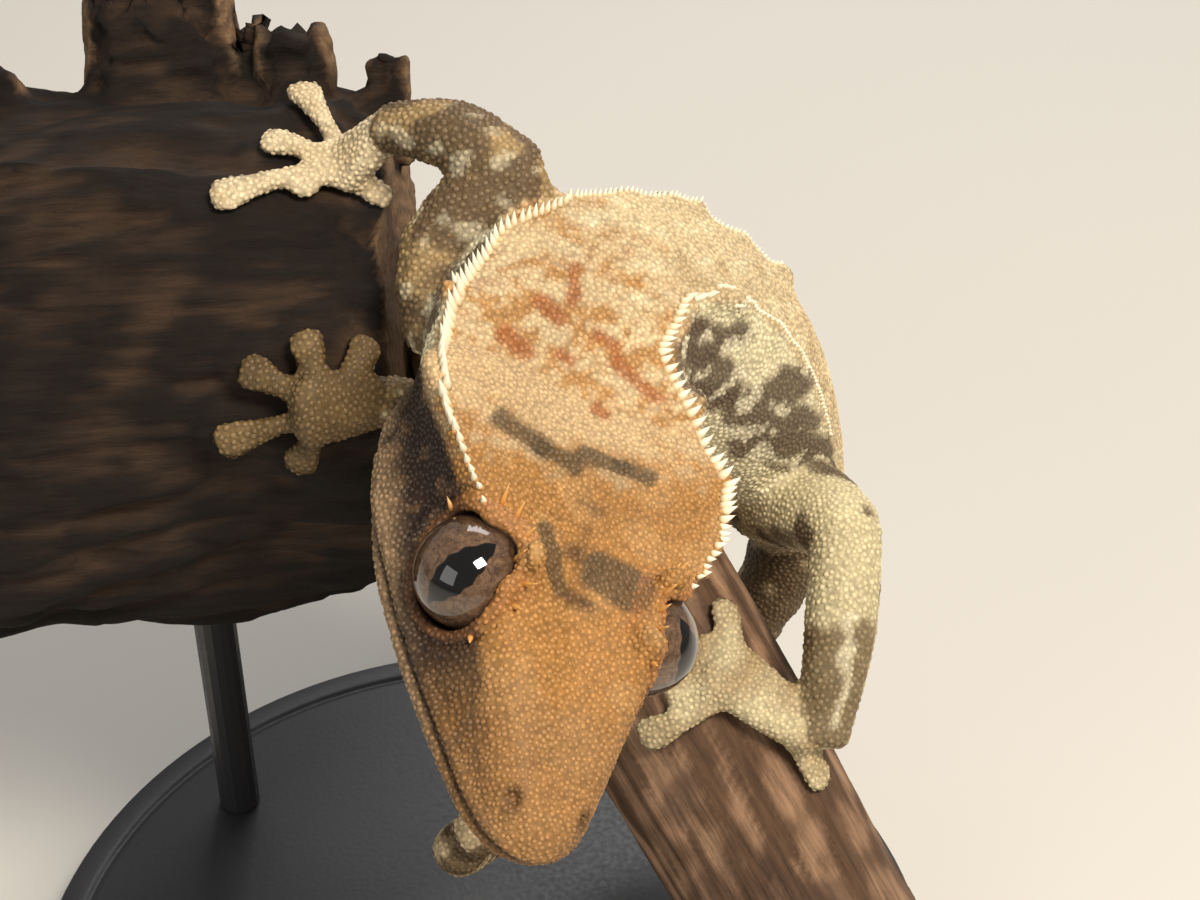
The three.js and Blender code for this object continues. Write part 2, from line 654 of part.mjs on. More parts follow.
const headFat = headShell(gap * 1.4);
addNode('neck', largest(trunkPiece(0).subtract(headFat)), colours.orange);
addNode('chest', largest(trunkPiece(1).subtract(woodFat)), colours.cream);
addNode('rump', largest(trunkPiece(2).subtract(woodFat)), colours.cream);
addNode('tail_base', largest(cut(bodyLength(3), [woodFat])), colours.brown);
addNode('tail_middle', largest(cut(bodyLength(4), [woodFat])), colours.brown);
addNode('tail_tip', largest(cut(bodyLength(5), [woodFat])), colours.brown);

const rightArm = limbSet(rightUpperArm, rightForearm, rightHand, log, [0.3, 0.5, 0.8]);
addNode('right_upper_arm', rightArm[0], colours.brown);
addNode('right_forearm', rightArm[1], colours.brown);
addNode('right_hand', rightArm[2], colours.brown);
const leftArm = limbSet(leftUpperArm, leftForearm, leftHand, log, [0.2, 0.2, 0.95]);
addNode('left_upper_arm', leftArm[0], colours.brown);
addNode('left_forearm', leftArm[1], colours.brown);
addNode('left_hand', leftArm[2], colours.brown);
const leftLeg = limbSet(leftThigh, leftShin, leftFoot, branch, [0.3, 0.2, 0.9]);
addNode('left_thigh', leftLeg[0], colours.brown);
addNode('left_shin', leftLeg[1], colours.cream);
addNode('left_foot', leftLeg[2], colours.cream);
const rightLeg = limbSet(rightThigh, rightShin, rightFoot, branch, [-0.2, 0.2, -0.95]);
addNode('right_thigh', rightLeg[0], colours.brown);
addNode('right_shin', rightLeg[1], colours.cream);
addNode('right_foot', rightLeg[2], colours.cream);

const rodLogHole = rod(rodLog, 0, rodLogTop + gap, rodRadius + gap);
const rodBranchHole = rod(rodBranch, 0, rodBranchTop + gap, rodRadius + gap);
addNode('perch_log', largest(logWood(0).subtract(rodLogHole)), colours.darkWood, 0.12);
const branchWood = branch.build(0, 24, 12).subtract(logFat).subtract(rodBranchHole);
addNode('perch_branch', largest(branchWood), colours.paleWood, 0.12);

const baseShape = new THREE.CylinderGeometry(baseRadius - 1, baseRadius, baseThick, 48);
baseShape.rotateX(Math.PI / 2);
baseShape.translate(0, 0, baseThick / 2);
addNode('stand_base', solid(baseShape), colours.stand);
addNode('stand_rod_log', rod(rodLog, baseThick + gap, rodLogTop, rodRadius), colours.stand);
addNode('stand_rod_branch', rod(rodBranch, baseThick + gap, rodBranchTop, rodRadius), colours.stand);

export default group;
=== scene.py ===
import bpy
import bmesh
import math
import numpy as np
from mathutils import Matrix, Vector
from mathutils.bvhtree import BVHTree
from mathutils.kdtree import KDTree


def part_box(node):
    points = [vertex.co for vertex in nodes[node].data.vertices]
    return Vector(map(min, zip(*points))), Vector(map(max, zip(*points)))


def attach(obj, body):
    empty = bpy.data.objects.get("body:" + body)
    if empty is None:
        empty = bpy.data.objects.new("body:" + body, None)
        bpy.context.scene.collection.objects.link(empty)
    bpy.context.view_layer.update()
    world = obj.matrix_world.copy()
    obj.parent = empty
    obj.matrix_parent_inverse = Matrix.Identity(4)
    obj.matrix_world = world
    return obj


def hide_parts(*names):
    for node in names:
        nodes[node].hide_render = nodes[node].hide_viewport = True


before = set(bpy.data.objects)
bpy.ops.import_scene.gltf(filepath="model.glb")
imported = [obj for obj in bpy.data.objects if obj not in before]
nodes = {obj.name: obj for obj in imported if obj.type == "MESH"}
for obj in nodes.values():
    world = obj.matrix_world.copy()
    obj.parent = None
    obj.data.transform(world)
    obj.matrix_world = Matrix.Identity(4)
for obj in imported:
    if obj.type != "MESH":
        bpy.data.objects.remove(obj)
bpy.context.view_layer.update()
mm = 0.001
rng = np.random.default_rng(7)

# View numbers: right, up and near in mm, as the solids were laid out; focal in pixels of the picture, film in mm
viewDict = {"tilt": math.radians(38), "shift": (12.0, -21.0, 89.0), "eyeAt": 164.0, "focal": 2239.0,
            "picture": (1200, 900), "film": 36}
sinTilt, cosTilt = math.sin(viewDict["tilt"]), math.cos(viewDict["tilt"])


def toWorld(p):
    p = np.atleast_2d(np.asarray(p, float))
    sx, sy, sz = viewDict["shift"]
    out = np.stack([p[:, 0] + sx, p[:, 1] * sinTilt - p[:, 2] * cosTilt + sy,
                    p[:, 1] * cosTilt + p[:, 2] * sinTilt + sz], 1)
    return out * mm


def toView(points):
    sx, sy, sz = viewDict["shift"]
    p = np.atleast_2d(points) / mm - np.array([sx, sy, sz])
    return np.stack([p[:, 0], p[:, 1] * sinTilt + p[:, 2] * cosTilt,
                     -p[:, 1] * cosTilt + p[:, 2] * sinTilt], 1)


def toPixel(points):
    v = toView(points)
    depth = viewDict["eyeAt"] - v[:, 2]
    wide, high = viewDict["picture"]
    return wide / 2 + viewDict["focal"] * v[:, 0] / depth, high / 2 - viewDict["focal"] * v[:, 1] / depth


def unit(v):
    return v / np.linalg.norm(v)


def treeOf(points):
    tree = KDTree(len(points))
    for i, p in enumerate(points):
        tree.insert(p, i)
    tree.balance()
    return tree


headDict = {"place": (-3.3, -11.5, 0.0), "forward": (-0.014, -0.78, 0.625), "left": (0.829, -0.358, -0.429),
            "up": (0.559, 0.512, 0.652), "eyeSide": 7.3, "eyeHeight": 0.35, "eyeRadius": 4.3,
            "eyeForward": 0.2, "opening": (0.25, 0.85, 0.42), "lidDepth": 0.5, "lidWidth": 0.5,
            "nostril": (17.0, 3.0, 0.1), "ear": (-13.2, 12.9, -4.6), "snout": 19.4}
headAxes = np.array([headDict["forward"], headDict["left"], headDict["up"]])


def toHead(points):
    return (toView(points) - np.array(headDict["place"])) @ headAxes.T


def fromHead(p):
    return toWorld(np.atleast_2d(p) @ headAxes + np.array(headDict["place"]))


def eyeAxes(side):
    # the eye opening's own directions: out, up and forward along the lid
    out = unit(np.array(headDict["opening"]) * (1, side, 1))
    up = unit(np.array([0, 0, 1.0]) - out * out[2])
    centre = np.array([headDict["eyeForward"], side * headDict["eyeSide"], headDict["eyeHeight"]])
    return centre, out, up, np.cross(out, up) * side


def eyeOffsets(h):
    # from the nearer eye: distance, height over its middle plane, distance off its axis, share upwards
    centre, out, up, ahead = eyeAxes(1)
    rel = h * (1, 0, 1) + np.abs(h) * (0, 1, 0) - centre
    high = rel @ out
    off = np.sqrt(np.maximum((rel ** 2).sum(1) - high ** 2, 0))
    return np.linalg.norm(rel, axis=1), high, off, rel @ up / np.maximum(off, 1e-6)


# Camera first
camData = bpy.data.cameras.new("camera")
camData.sensor_width = viewDict["film"]
camData.lens = viewDict["film"] * viewDict["focal"] / viewDict["picture"][0]
camData.clip_start = 0.01
camData.clip_end = 10
camera = bpy.data.objects.new("camera", camData)
bpy.context.scene.collection.objects.link(camera)
cx, cy, cz = toWorld((0, 0, viewDict["eyeAt"]))[0]
camera.matrix_world = Matrix(((1, 0, 0, cx), (0, sinTilt, -cosTilt, cy), (0, cosTilt, sinTilt, cz), (0, 0, 0, 1)))
bpy.context.scene.camera = camera
print("camera placed")


# Small helpers
def toLinear(code, alpha=1.0):
    parts = [int(code[i:i + 2], 16) / 255 for i in (1, 3, 5)]
    return tuple(c / 12.92 if c <= 0.04045 else ((c + 0.055) / 1.055) ** 2.4 for c in parts) + (alpha,)


def colour(code):
    return np.array(toLinear(code)[:3])


def smooth(low, high, x):
    t = np.clip((x - low) / (high - low), 0, 1)
    return t * t * (3 - 2 * t)


def ripple(points, sizeMm, seed, waves=7):
    # a soft wandering value about -1 to 1, with lumps of the size given
    local = np.random.default_rng(seed)
    p = points / mm
    total = np.zeros(len(p))
    for i in range(waves):
        axis = unit(local.normal(size=3))
        rate = 2 * math.pi / (sizeMm * local.uniform(1.4, 2.8))
        total += np.sin(p @ axis * rate + local.uniform(0, 6.3) + 1.3 * np.sin(p @ axis[[1, 2, 0]] * rate * 0.6))
    return total / math.sqrt(waves) / 0.9


def deselect():
    for o in bpy.context.selected_objects:
        o.select_set(False)


def makeActive(obj):
    deselect()
    obj.select_set(True)
    bpy.context.view_layer.objects.active = obj


def copyNodes(names, label):
    made = []
    for n in names:
        o = bpy.data.objects.new(label, nodes[n].data.copy())
        bpy.context.scene.collection.objects.link(o)
        made.append(o)
    makeActive(made[0])
    for o in made:
        o.select_set(True)
    if len(made) > 1:
        bpy.ops.object.join()
    whole = bpy.context.view_layer.objects.active
    whole.name = label
    whole.data.materials.clear()
    bpy.ops.object.mode_set(mode="EDIT")
    bpy.ops.mesh.select_all(action="SELECT")
    bpy.ops.mesh.remove_doubles(threshold=1e-6)
    bpy.ops.object.mode_set(mode="OBJECT")
    return whole


def places(obj):
    out = np.empty(len(obj.data.vertices) * 3)
    obj.data.vertices.foreach_get("co", out)
    return out.reshape(-1, 3)


def normals(obj):
    out = np.empty(len(obj.data.vertices) * 3)
    obj.data.vertex_normals.foreach_get("vector", out)
    return out.reshape(-1, 3)


def setPlaces(obj, co):
    obj.data.vertices.foreach_set("co", np.asarray(co, float).ravel())
    obj.data.update()


def swell(obj, amount):
    setPlaces(obj, places(obj) + normals(obj) * amount * mm)


def remesh(obj, voxel):
    makeActive(obj)
    m = obj.modifiers.new("remesh", "REMESH")
    m.mode = "VOXEL"
    m.voxel_size = voxel * mm
    bpy.ops.object.modifier_apply(modifier=m.name)


def relax(obj, times, factor=0.5):
    makeActive(obj)
    m = obj.modifiers.new("relax", "SMOOTH")
    m.factor = factor
    m.iterations = times
    bpy.ops.object.modifier_apply(modifier=m.name)


def relaxWhere(obj, weights, times, factor=0.5):
    group = obj.vertex_groups.new(name="soft")
    for i in np.where(weights > 0.02)[0]:
        group.add([int(i)], float(weights[i]), "REPLACE")
    makeActive(obj)
    m = obj.modifiers.new("relax", "SMOOTH")
    m.factor = factor
    m.iterations = times
    m.vertex_group = group.name
    bpy.ops.object.modifier_apply(modifier=m.name)
    obj.vertex_groups.clear()


def shadeSmooth(obj):
    obj.data.polygons.foreach_set("use_smooth", [True] * len(obj.data.polygons))
    obj.data.update()


def triPiece(name, verts, tris):
    data = bpy.data.meshes.new(name)
    data.vertices.add(len(verts))
    data.vertices.foreach_set("co", verts.astype(np.float32).ravel())
    data.loops.add(len(tris) * 3)
    data.loops.foreach_set("vertex_index", tris.astype(np.int32).ravel())
    data.polygons.add(len(tris))
    data.polygons.foreach_set("loop_start", np.arange(0, len(tris) * 3, 3, dtype=np.int32))
    data.polygons.foreach_set("use_smooth", np.ones(len(tris), bool))
    data.update(calc_edges=True)
    data.validate()
    o = bpy.data.objects.new(name, data)
    bpy.context.scene.collection.objects.link(o)
    return o


def setColours(obj, name, values):
    layer = obj.data.color_attributes.new(name, "FLOAT_COLOR", "POINT")
    full = np.ones((len(values), 4))
    full[:, :3] = np.clip(values, 0, 1)
    layer.data.foreach_set("color", full.ravel())


# Materials: one helper adds a node with its settings and links
def addNode(tree, kind, settings=None, links=None):
    n = tree.nodes.new(kind)
    for key, value in (settings or {}).items():
        if isinstance(key, int) or key in n.inputs:
            n.inputs[key].default_value = value
        else:
            setattr(n, key, value)
    for key, source in (links or {}).items():
        tree.links.new(source, n.inputs[key])
    return n


def newMaterial(name, settings):
    mat = bpy.data.materials.new(name)
    mat.use_nodes = True
    tree = mat.node_tree
    shader = tree.nodes["Principled BSDF"]
    for key, value in settings.items():
        shader.inputs[key].default_value = value
    return mat, tree, shader


def give(obj, mat):
    obj.data.materials.clear()
    obj.data.materials.append(mat)


# The spine's run, the same stations as the solids: place, half width and height, crest row's place to the side and up
spineStations = np.array([
    [-4.7, 0.1, -12.6, 10.8, 5.5, 12.6, 5.7], [-4.6, 7.4, -20.5, 10.4, 7.6, 9.2, 6.6],
    [-1.0, 12.0, -28.5, 10.4, 9.0, 5.8, 7.9], [5.8, 11.9, -38.5, 10.5, 9.6, 5.2, 8.6],
    [11.6, 7.2, -49.0, 10.6, 9.6, 4.9, 8.5], [16.6, -0.6, -60.0, 8.2, 7.8, 3.8, 6.9],
    [20.0, -8.0, -69.0, 4.5, 4.6, 2.4, 4.0], [16.0, -18.0, -75.0, 3.7, 3.8, 2.0, 3.3],
    [6.0, -27.0, -75.0, 3.3, 3.4, 1.8, 2.9], [-5.0, -34.0, -66.0, 3.0, 3.1, 1.6, 2.6],
    [-12.0, -37.5, -52.0, 2.7, 2.7, 1.4, 2.3], [-12.6, -36.3, -41.5, 2.4, 2.4, 1.3, 2.0],
    [-8.0, -32.0, -40.5, 2.2, 1.9, 1.2, 1.6], [-3.6, -28.0, -43.8, 1.9, 1.2, 1.0, 1.0]])
spineUp = np.array([0.5, 0.56, 0.66])


def spineAt(s):
    last = len(spineStations) - 1
    low = int(min(last - 1, max(0, math.floor(s))))
    k = s - low
    pick = lambda i: spineStations[min(last, max(0, i))]
    p0, p1, p2, p3 = pick(low - 1), pick(low), pick(low + 1), pick(low + 2)
    m1, m2 = (p2 - p0) / 2, (p3 - p1) / 2
    at = (2 * k ** 3 - 3 * k ** 2 + 1) * p1 + (k ** 3 - 2 * k ** 2 + k) * m1 \
        + (-2 * k ** 3 + 3 * k ** 2) * p2 + (k ** 3 - k ** 2) * m2
    run = (6 * k ** 2 - 6 * k) * p1 + (3 * k ** 2 - 4 * k + 1) * m1 + (-6 * k ** 2 + 6 * k) * p2 \
        + (3 * k ** 2 - 2 * k) * m2
    speed = np.linalg.norm(run[:3])
    along = run[:3] / speed
    left = unit(np.cross(along, spineUp))
    top = np.cross(left, along)
    return at[:3], along, left, top, at[3:5], at[5:7], speed


def rowShare(s, side):
    # the left row swings in behind the head, as the neck bends
    return 1 - 0.3 * np.exp(-((s - 0.85) / 0.55) ** 2) * (side > 0)


# Flesh: one skin over all the solids of the body
trunkNodes = ["head", "neck", "chest", "rump"]
limbNodes = ["tail_base", "tail_middle", "tail_tip"]
for side in ("right", "left"):
    limbNodes += [side + part for part in ("_upper_arm", "_forearm", "_hand", "_thigh", "_shin", "_foot")]
skinDict = {"voxel": 0.52, "fine": 0.3, "close": 0.3, "open": 0.5, "join": 0.22, "relax": 3,
            "lidOut": 0.42, "lidSwell": 0.1, "brow": 0.1, "lidRelax": 12, "napeRelax": 16, "crestRelax": 50}


def lidRing(side):
    deselect()
    bpy.ops.mesh.primitive_torus_add(major_radius=headDict["eyeRadius"] + skinDict["lidOut"],
                                     minor_radius=headDict["lidWidth"] + skinDict["lidSwell"],
                                     major_segments=56, minor_segments=12)
    ring = bpy.context.object
    centre, out, up, ahead = eyeAxes(side)
    co = places(ring)
    # the ring stands out a little further at the brow
    turn = np.arctan2(co[:, 1], co[:, 0])
    raised = co[:, 2] + headDict["lidDepth"] + skinDict["brow"] * np.sin(turn)
    spot = centre + co[:, [0]] * ahead + co[:, [1]] * up + raised[:, None] * out
    setPlaces(ring, fromHead(spot))
    if side < 0:
        ring.data.flip_normals()
    return ring


def buildSkin():
    trunk = copyNodes(trunkNodes, "trunk")
    swell(trunk, skinDict["close"])
    remesh(trunk, skinDict["fine"])
    swell(trunk, -skinDict["close"] - skinDict["open"])
    remesh(trunk, skinDict["fine"])
    swell(trunk, skinDict["open"] + skinDict["join"])
    limbs = copyNodes(limbNodes, "limbs")
    swell(limbs, skinDict["join"])
    lids = [lidRing(1), lidRing(-1)]
    makeActive(trunk)
    for o in [limbs] + lids:
        o.select_set(True)
    bpy.ops.object.join()
    trunk.name = "gecko_skin"
    remesh(trunk, skinDict["voxel"])
    swell(trunk, -skinDict["join"])
    relax(trunk, skinDict["relax"])
    return trunk


skin = buildSkin()
print("skin", len(skin.data.polygons), "faces")


def refineHead(obj):
    # the face is subdivided once, for lips, lids and nostrils
    h = toHead(places(obj))
    inFace = (h[:, 0] > -9) & (h[:, 0] < 22) & (np.abs(h[:, 1]) < 14) & (h[:, 2] > -12) & (h[:, 2] < 8)
    makeActive(obj)
    bm = bmesh.new()
    bm.from_mesh(obj.data)
    bm.verts.ensure_lookup_table()
    edges = [e for e in bm.edges if inFace[e.verts[0].index] and inFace[e.verts[1].index]]
    bmesh.ops.subdivide_edges(bm, edges=edges, cuts=1, use_grid_fill=True, smooth=0.0)
    bmesh.ops.triangulate(bm, faces=[f for f in bm.faces if len(f.verts) > 4])
    bm.to_mesh(obj.data)
    bm.free()


# the skin round the eyes, behind the head and along the crest's edge is smoothed further
headNow = toHead(places(skin))
eyeNear, lidHigh, lidOff = eyeOffsets(headNow)[:3]
relaxWhere(skin, smooth(5.1, 5.7, lidOff) * smooth(8.0, 6.6, eyeNear) * smooth(-1.6, -0.6, lidHigh),
           skinDict["lidRelax"])
relaxWhere(skin, smooth(-12.5, -14.5, headNow[:, 0]) * smooth(-25, -21, headNow[:, 0])
           * smooth(-9, -5, headNow[:, 2]), skinDict["napeRelax"])
edgeNow = np.array([
    [at + left * turnTo * crest[0] + top * crest[1] for turnTo in (1, -1)]
    for at, along, left, top, wide, crest, speed in map(spineAt, np.arange(0.3, 5.2, 0.1))]).reshape(-1, 3)
edgeTree = treeOf(edgeNow)
edgeOff = np.array([edgeTree.find(p)[2] for p in toView(places(skin))])
relaxWhere(skin, smooth(3.0, 1.8, edgeOff), skinDict["crestRelax"])
refineHead(skin)

lipDict = {"front": -3.4, "slope": 0.115, "depth": 0.42, "wide": 0.26, "pout": 0.22}


def lipLine(h):
    # how high the mouth's line is at each point's place along the head
    return lipDict["front"] - lipDict["slope"] * (headDict["snout"] - h[:, 0])


def nostrilOff(h):
    nx, ny, nz = headDict["nostril"]
    return np.sqrt((h[:, 0] - nx) ** 2 + (np.abs(h[:, 1]) - ny) ** 2 + (h[:, 2] - nz) ** 2)


def earOff(h, size):
    # distance from the nearer ear, in shares of the size given
    ex, ey, ez = headDict["ear"]
    return np.sqrt(((h[:, 0] - ex) / size[0]) ** 2 + ((np.abs(h[:, 1]) - ey) / size[1]) ** 2
                   + ((h[:, 2] - ez) / size[2]) ** 2)


def shapeFace(obj):
    co, n = places(obj), normals(obj)
    h = toHead(co)
    move = np.zeros(len(co))
    near = smooth(-10.5, -7.5, h[:, 0])
    off = h[:, 2] - lipLine(h)
    move -= near * lipDict["depth"] * np.exp(-(off / lipDict["wide"]) ** 2)
    move += near * lipDict["pout"] * (np.exp(-((off - 0.85) / 0.5) ** 2) + 0.8 * np.exp(-((off + 0.8) / 0.5) ** 2))
    r = nostrilOff(h)
    move += 0.12 * np.exp(-((r - 0.9) / 0.35) ** 2) - 0.75 * np.exp(-(r / 0.5) ** 2)
    move -= 0.6 * np.exp(-earOff(h, (0.7, 2.5, 1.6)) ** 2)
    # a fold of loose skin round the lid
    near, high, off, up = eyeOffsets(h)
    zone = smooth(-2.0, -0.8, high) * smooth(8.0, 7.0, near)
    move += zone * (-0.24 * np.exp(-((off - 5.55) / 0.28) ** 2) + 0.12 * np.exp(-((off - 6.15) / 0.32) ** 2))
    # a shallow trough down the middle of the snout
    trough = smooth(0, 6, h[:, 0]) * (1 - smooth(13, 17, h[:, 0])) * (h[:, 2] > -1)
    move -= 0.25 * np.exp(-(h[:, 1] / 1.6) ** 2) * trough
    setPlaces(obj, co + n * (move * mm)[:, None])


shapeFace(skin)
shadeSmooth(skin)
print("face shaped", len(skin.data.polygons), "faces")


def partOf(points):
    # which solid each point of the skin came from
    names = trunkNodes + limbNodes
    tree = []
    for n in names:
        me = nodes[n].data
        co = np.empty(len(me.vertices) * 3)
        me.vertices.foreach_get("co", co)
        tris = [tuple(p.vertices) for p in me.polygons]
        tree.append(BVHTree.FromPolygons([Vector(v) for v in co.reshape(-1, 3)], tris))
    best = np.full(len(points), 1e9)
    pick = np.zeros(len(points), int)
    for i, t in enumerate(tree):
        lo, hi = [np.array(v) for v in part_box(names[i])]
        close = np.where(np.all((points > lo - 0.001) & (points < hi + 0.001), 1))[0]
        for j in close:
            hit = t.find_nearest(Vector(points[j]))
            if hit[3] is not None and hit[3] < best[j]:
                best[j] = hit[3]
                pick[j] = i
    return pick, names


def trunkCoords(points):
    # run along the spine and turn from the back's middle, left positive
    v = toView(points)
    steps = np.linspace(0, 13, 131)
    info = [spineAt(s) for s in steps]
    centre = np.array([i[0] for i in info])
    batches = np.array_split(v, len(v) // 15000 + 1)
    best = np.concatenate([np.argmin(((c[:, None, :] - centre[None]) ** 2).sum(2), 1) for c in batches])
    left = np.array([i[2] for i in info])[best]
    top = np.array([i[3] for i in info])[best]
    wide = np.array([i[4] for i in info])[best]
    edges = [np.array([math.degrees(math.atan2(i[5][0] * rowShare(q, side) / i[4][0], i[5][1] / i[4][1]))
                       for q, i in zip(steps, info)])[best] for side in (1, -1)]
    rel = v - centre[best]
    a = np.arctan2((rel * left).sum(1) / wide[:, 0], (rel * top).sum(1) / wide[:, 1])
    return steps[best], np.degrees(a), np.where(a > 0, edges[0], edges[1])


# Markings and painted shade, worked out once for the skin and used again by the scales
markDict = {
    "headTop": "#A8793F", "headPale": "#BF955F", "snout": "#966E41", "rust": "#A05E2A", "nape": "#B58850",
    "cream": "#D2BC94", "white": "#E6DCBC", "patch": "#5F4E3B", "flank": "#E4D8B2", "belly": "#D2C7A4",
    "cheek": "#2F1F14", "cheekPale": "#6F5438", "lip": "#A08462", "olive": "#58452A", "arm": "#6A563B",
    "armPale": "#A88D60", "hand": "#E0CDA8", "handShade": "#65502F", "legCream": "#CFC29B", "legBrown": "#756244",
    "ring": "#A66E3C", "dark": "#2A1D15", "toe": "#B8A681"}
# Marks that show to the camera: both ends and half the width in pixels of the picture, and the head's with a hue
headMarks = [
    ((500, 418), (545, 448), 9, "olive"), ((540, 445), (575, 466), 9, "olive"),
    ((582, 455), (622, 467), 9, "olive"), ((620, 466), (650, 478), 8, "olive"),
    ((545, 530), (560, 590), 8, "olive"), ((600, 572), (635, 592), 20, "olive"),
    ((575, 268), (573, 300), 7, "rust"), ((540, 300), (560, 318), 8, "rust"), ((505, 335), (525, 350), 10, "rust"),
    ((597, 335), (615, 348), 7, "rust"), ((618, 362), (632, 376), 8, "rust"), ((597, 408), (606, 414), 6, "rust"),
    ((560, 355), (570, 362), 6, "rust"), ((640, 385), (660, 400), 6, "rust")]
flankMarks = [
    ((655, 320), (700, 345), 22), ((660, 360), (720, 380), 24), ((700, 330), (745, 335), 12),
    ((690, 395), (725, 400), 14), ((742, 415), (790, 385), 20), ((745, 445), (800, 420), 16),
    ((780, 455), (820, 450), 18)]


def stretch(px, py, a, b):
    ax, ay = a
    dx, dy = b[0] - ax, b[1] - ay
    t = np.clip(((px - ax) * dx + (py - ay) * dy) / (dx * dx + dy * dy), 0, 1)
    return np.hypot(px - ax - t * dx, py - ay - t * dy)


def paint(points, away, pick, names):
    h = toHead(points)
    s, turn, edge = trunkCoords(points)
    px, py = toPixel(points)
    wanderX, wanderY = ripple(points, 1.8, 3), ripple(points, 1.8, 4)
    headX, headY = px + 1.3 * wanderX, py + 1.3 * wanderY
    px, py = px + 3.5 * wanderX, py + 3.5 * wanderY
    kind = np.array(names)[pick]
    isHead, isNeck = kind == "head", kind == "neck"
    isTrunk = np.isin(kind, ["neck", "chest", "rump"])
    isTail = np.char.startswith(kind.astype(str), "tail")
    isHand = np.isin(kind, ["right_hand", "left_hand"])
    isFoot = np.isin(kind, ["right_foot", "left_foot"])
    isArm = np.isin(kind, ["right_upper_arm", "right_forearm", "left_upper_arm", "left_forearm"])
    isLeg = np.isin(kind, ["right_thigh", "left_thigh", "right_shin", "left_shin"])
    out = np.tile(colour(markDict["cream"]), (len(points), 1))

    def lay(mask, hue, amount=1.0):
        k = (np.clip(mask, 0, 1) * amount)[:, None]
        out[:] = out * (1 - k) + colour(markDict[hue]) * k

    big, mid, small, fine = (ripple(points, q, i + 20) for i, q in enumerate((7.0, 3.2, 1.5, 0.8)))
    facing = smooth(0.0, 0.25, away)
    # trunk: cream between the crests, mottled flank, pale belly
    at = np.abs(turn)
    below = at - edge + 1.5 * small
    lay(isTrunk * smooth(0, 5, below), "flank")
    lay(isTrunk * smooth(72, 90, below + 6 * mid), "belly")
    blotch = smooth(0.05, 0.5, mid + 0.6 * small + 0.35 - np.abs(below - 32) / 38)
    rightSide = turn < 0
    # the right flank below the crest is painted an even grey-brown with some mottling: partly its marking, partly
    # painted shade
    lay(isTrunk * (s > 0.4) * rightSide * smooth(0, 4, below) * (1 - smooth(50, 70, below)), "patch",
        0.6 + 0.3 * (mid > 0))
    hidden = 1 - facing * (px > 560)
    lay(isTrunk * (~rightSide) * smooth(0, 4, below) * (1 - smooth(62, 80, below)) * blotch * hidden, "patch", 0.85)
    for a, b, r in flankMarks:
        lay(isTrunk * (~rightSide) * facing * smooth(r + 5, r - 5, stretch(px, py, a, b)) * smooth(-4, 1, below),
            "patch", 0.92)
    lay(isTrunk * smooth(0.75, 1.0, small + 0.4 * fine) * (below > 2), "white", 0.7)
    lay(isTrunk * smooth(0.5, 1.1, small) * (below <= 0) * (s > 1.2), "flank", 0.5)
    lay(isTrunk * smooth(0.9, 1.3, mid) * (below <= -3) * (s > 1.5), "armPale", 0.45)
    nape = isTrunk * smooth(2.0, 1.2, s + 0.25 * small) * smooth(4, -1, below)
    lay(nape, "nape")
    lay(nape * smooth(-0.9, 0.3, 0.5 * mid + 0.6 * small + 0.6 * fine) * smooth(-0.5, 0.5, s), "cream", 0.85)
    lay(nape * smooth(0.95, 1.2, small + 0.3 * fine) * smooth(20, 40, at), "rust", 0.3)
    # head
    lay(isHead, "headTop")
    lay(isHead * smooth(0.0, 0.9, mid), "headPale", 0.5)
    lay(isHead * smooth(7, 13, h[:, 0] + mid), "snout", 0.7)
    lay(isHead * smooth(-9.5, -15, h[:, 0] + 1.6 * small + 0.9 * fine + 0.25 * h[:, 1]), "cream", 0.6)
    crestZ = np.interp(h[:, 0], [-18, -15, -10, -4, 1, 6, 11, 15.5, 19.4],
                       [1.6, 2.2, 3, 3.4, 3.2, 1.6, 0.2, -0.8, -2.4])
    cheek = isHead * smooth(0.3, -0.9, h[:, 2] - crestZ + 0.25 * small)
    fade = 1 - 0.75 * smooth(4, 14, h[:, 0])
    lay(cheek, "cheek", fade)
    lay(cheek * smooth(0.45, 0.95, small + 0.4 * fine), "cheekPale", 0.6)
    lay(isHead * smooth(-3.0, -6.0, h[:, 2] + 0.4 * mid + 0.06 * h[:, 0]), "lip", 0.85)
    lay(isHead * smooth(-7.5, -8.8, h[:, 2]), "belly", 0.9)
    lay(isNeck * smooth(0.2, 0.9, small) * smooth(80, 100, at), "lip", 0.5)
    lipBand = isHead * smooth(-10, -8, h[:, 0])
    lay(lipBand * np.exp(-((h[:, 2] - lipLine(h)) / 0.32) ** 2), "dark", 0.7)
    for a, b, r, hue in headMarks:
        lay((isHead | isTrunk) * facing * smooth(r + 3, r - 3, stretch(headX, headY, a, b)), hue, 0.85)
    near, high, off, up = eyeOffsets(h)
    lid = isHead * smooth(5.5, 5.1, off) * (high > -1.2) * (near < 7)
    lay(lid, "ring", 0.3 + 0.35 * smooth(-0.3, 0.4, up))
    lay(isHead * smooth(headDict["eyeRadius"] + 0.42, headDict["eyeRadius"] + 0.22, near), "dark", 0.9)
    # the nostrils and ear openings are painted near black, painted shade inside the holes; the skin round each nostril
    # is painted darker too
    r = nostrilOff(h)
    lay(isHead * smooth(1.3, 0.7, r), "cheek", 0.4)
    lay(isHead * smooth(0.75, 0.45, r), "dark", 0.95)
    lay((isHead | isNeck) * smooth(1.1, 0.6, earOff(h, (0.6, 2.5, 1.5))), "dark", 0.9)
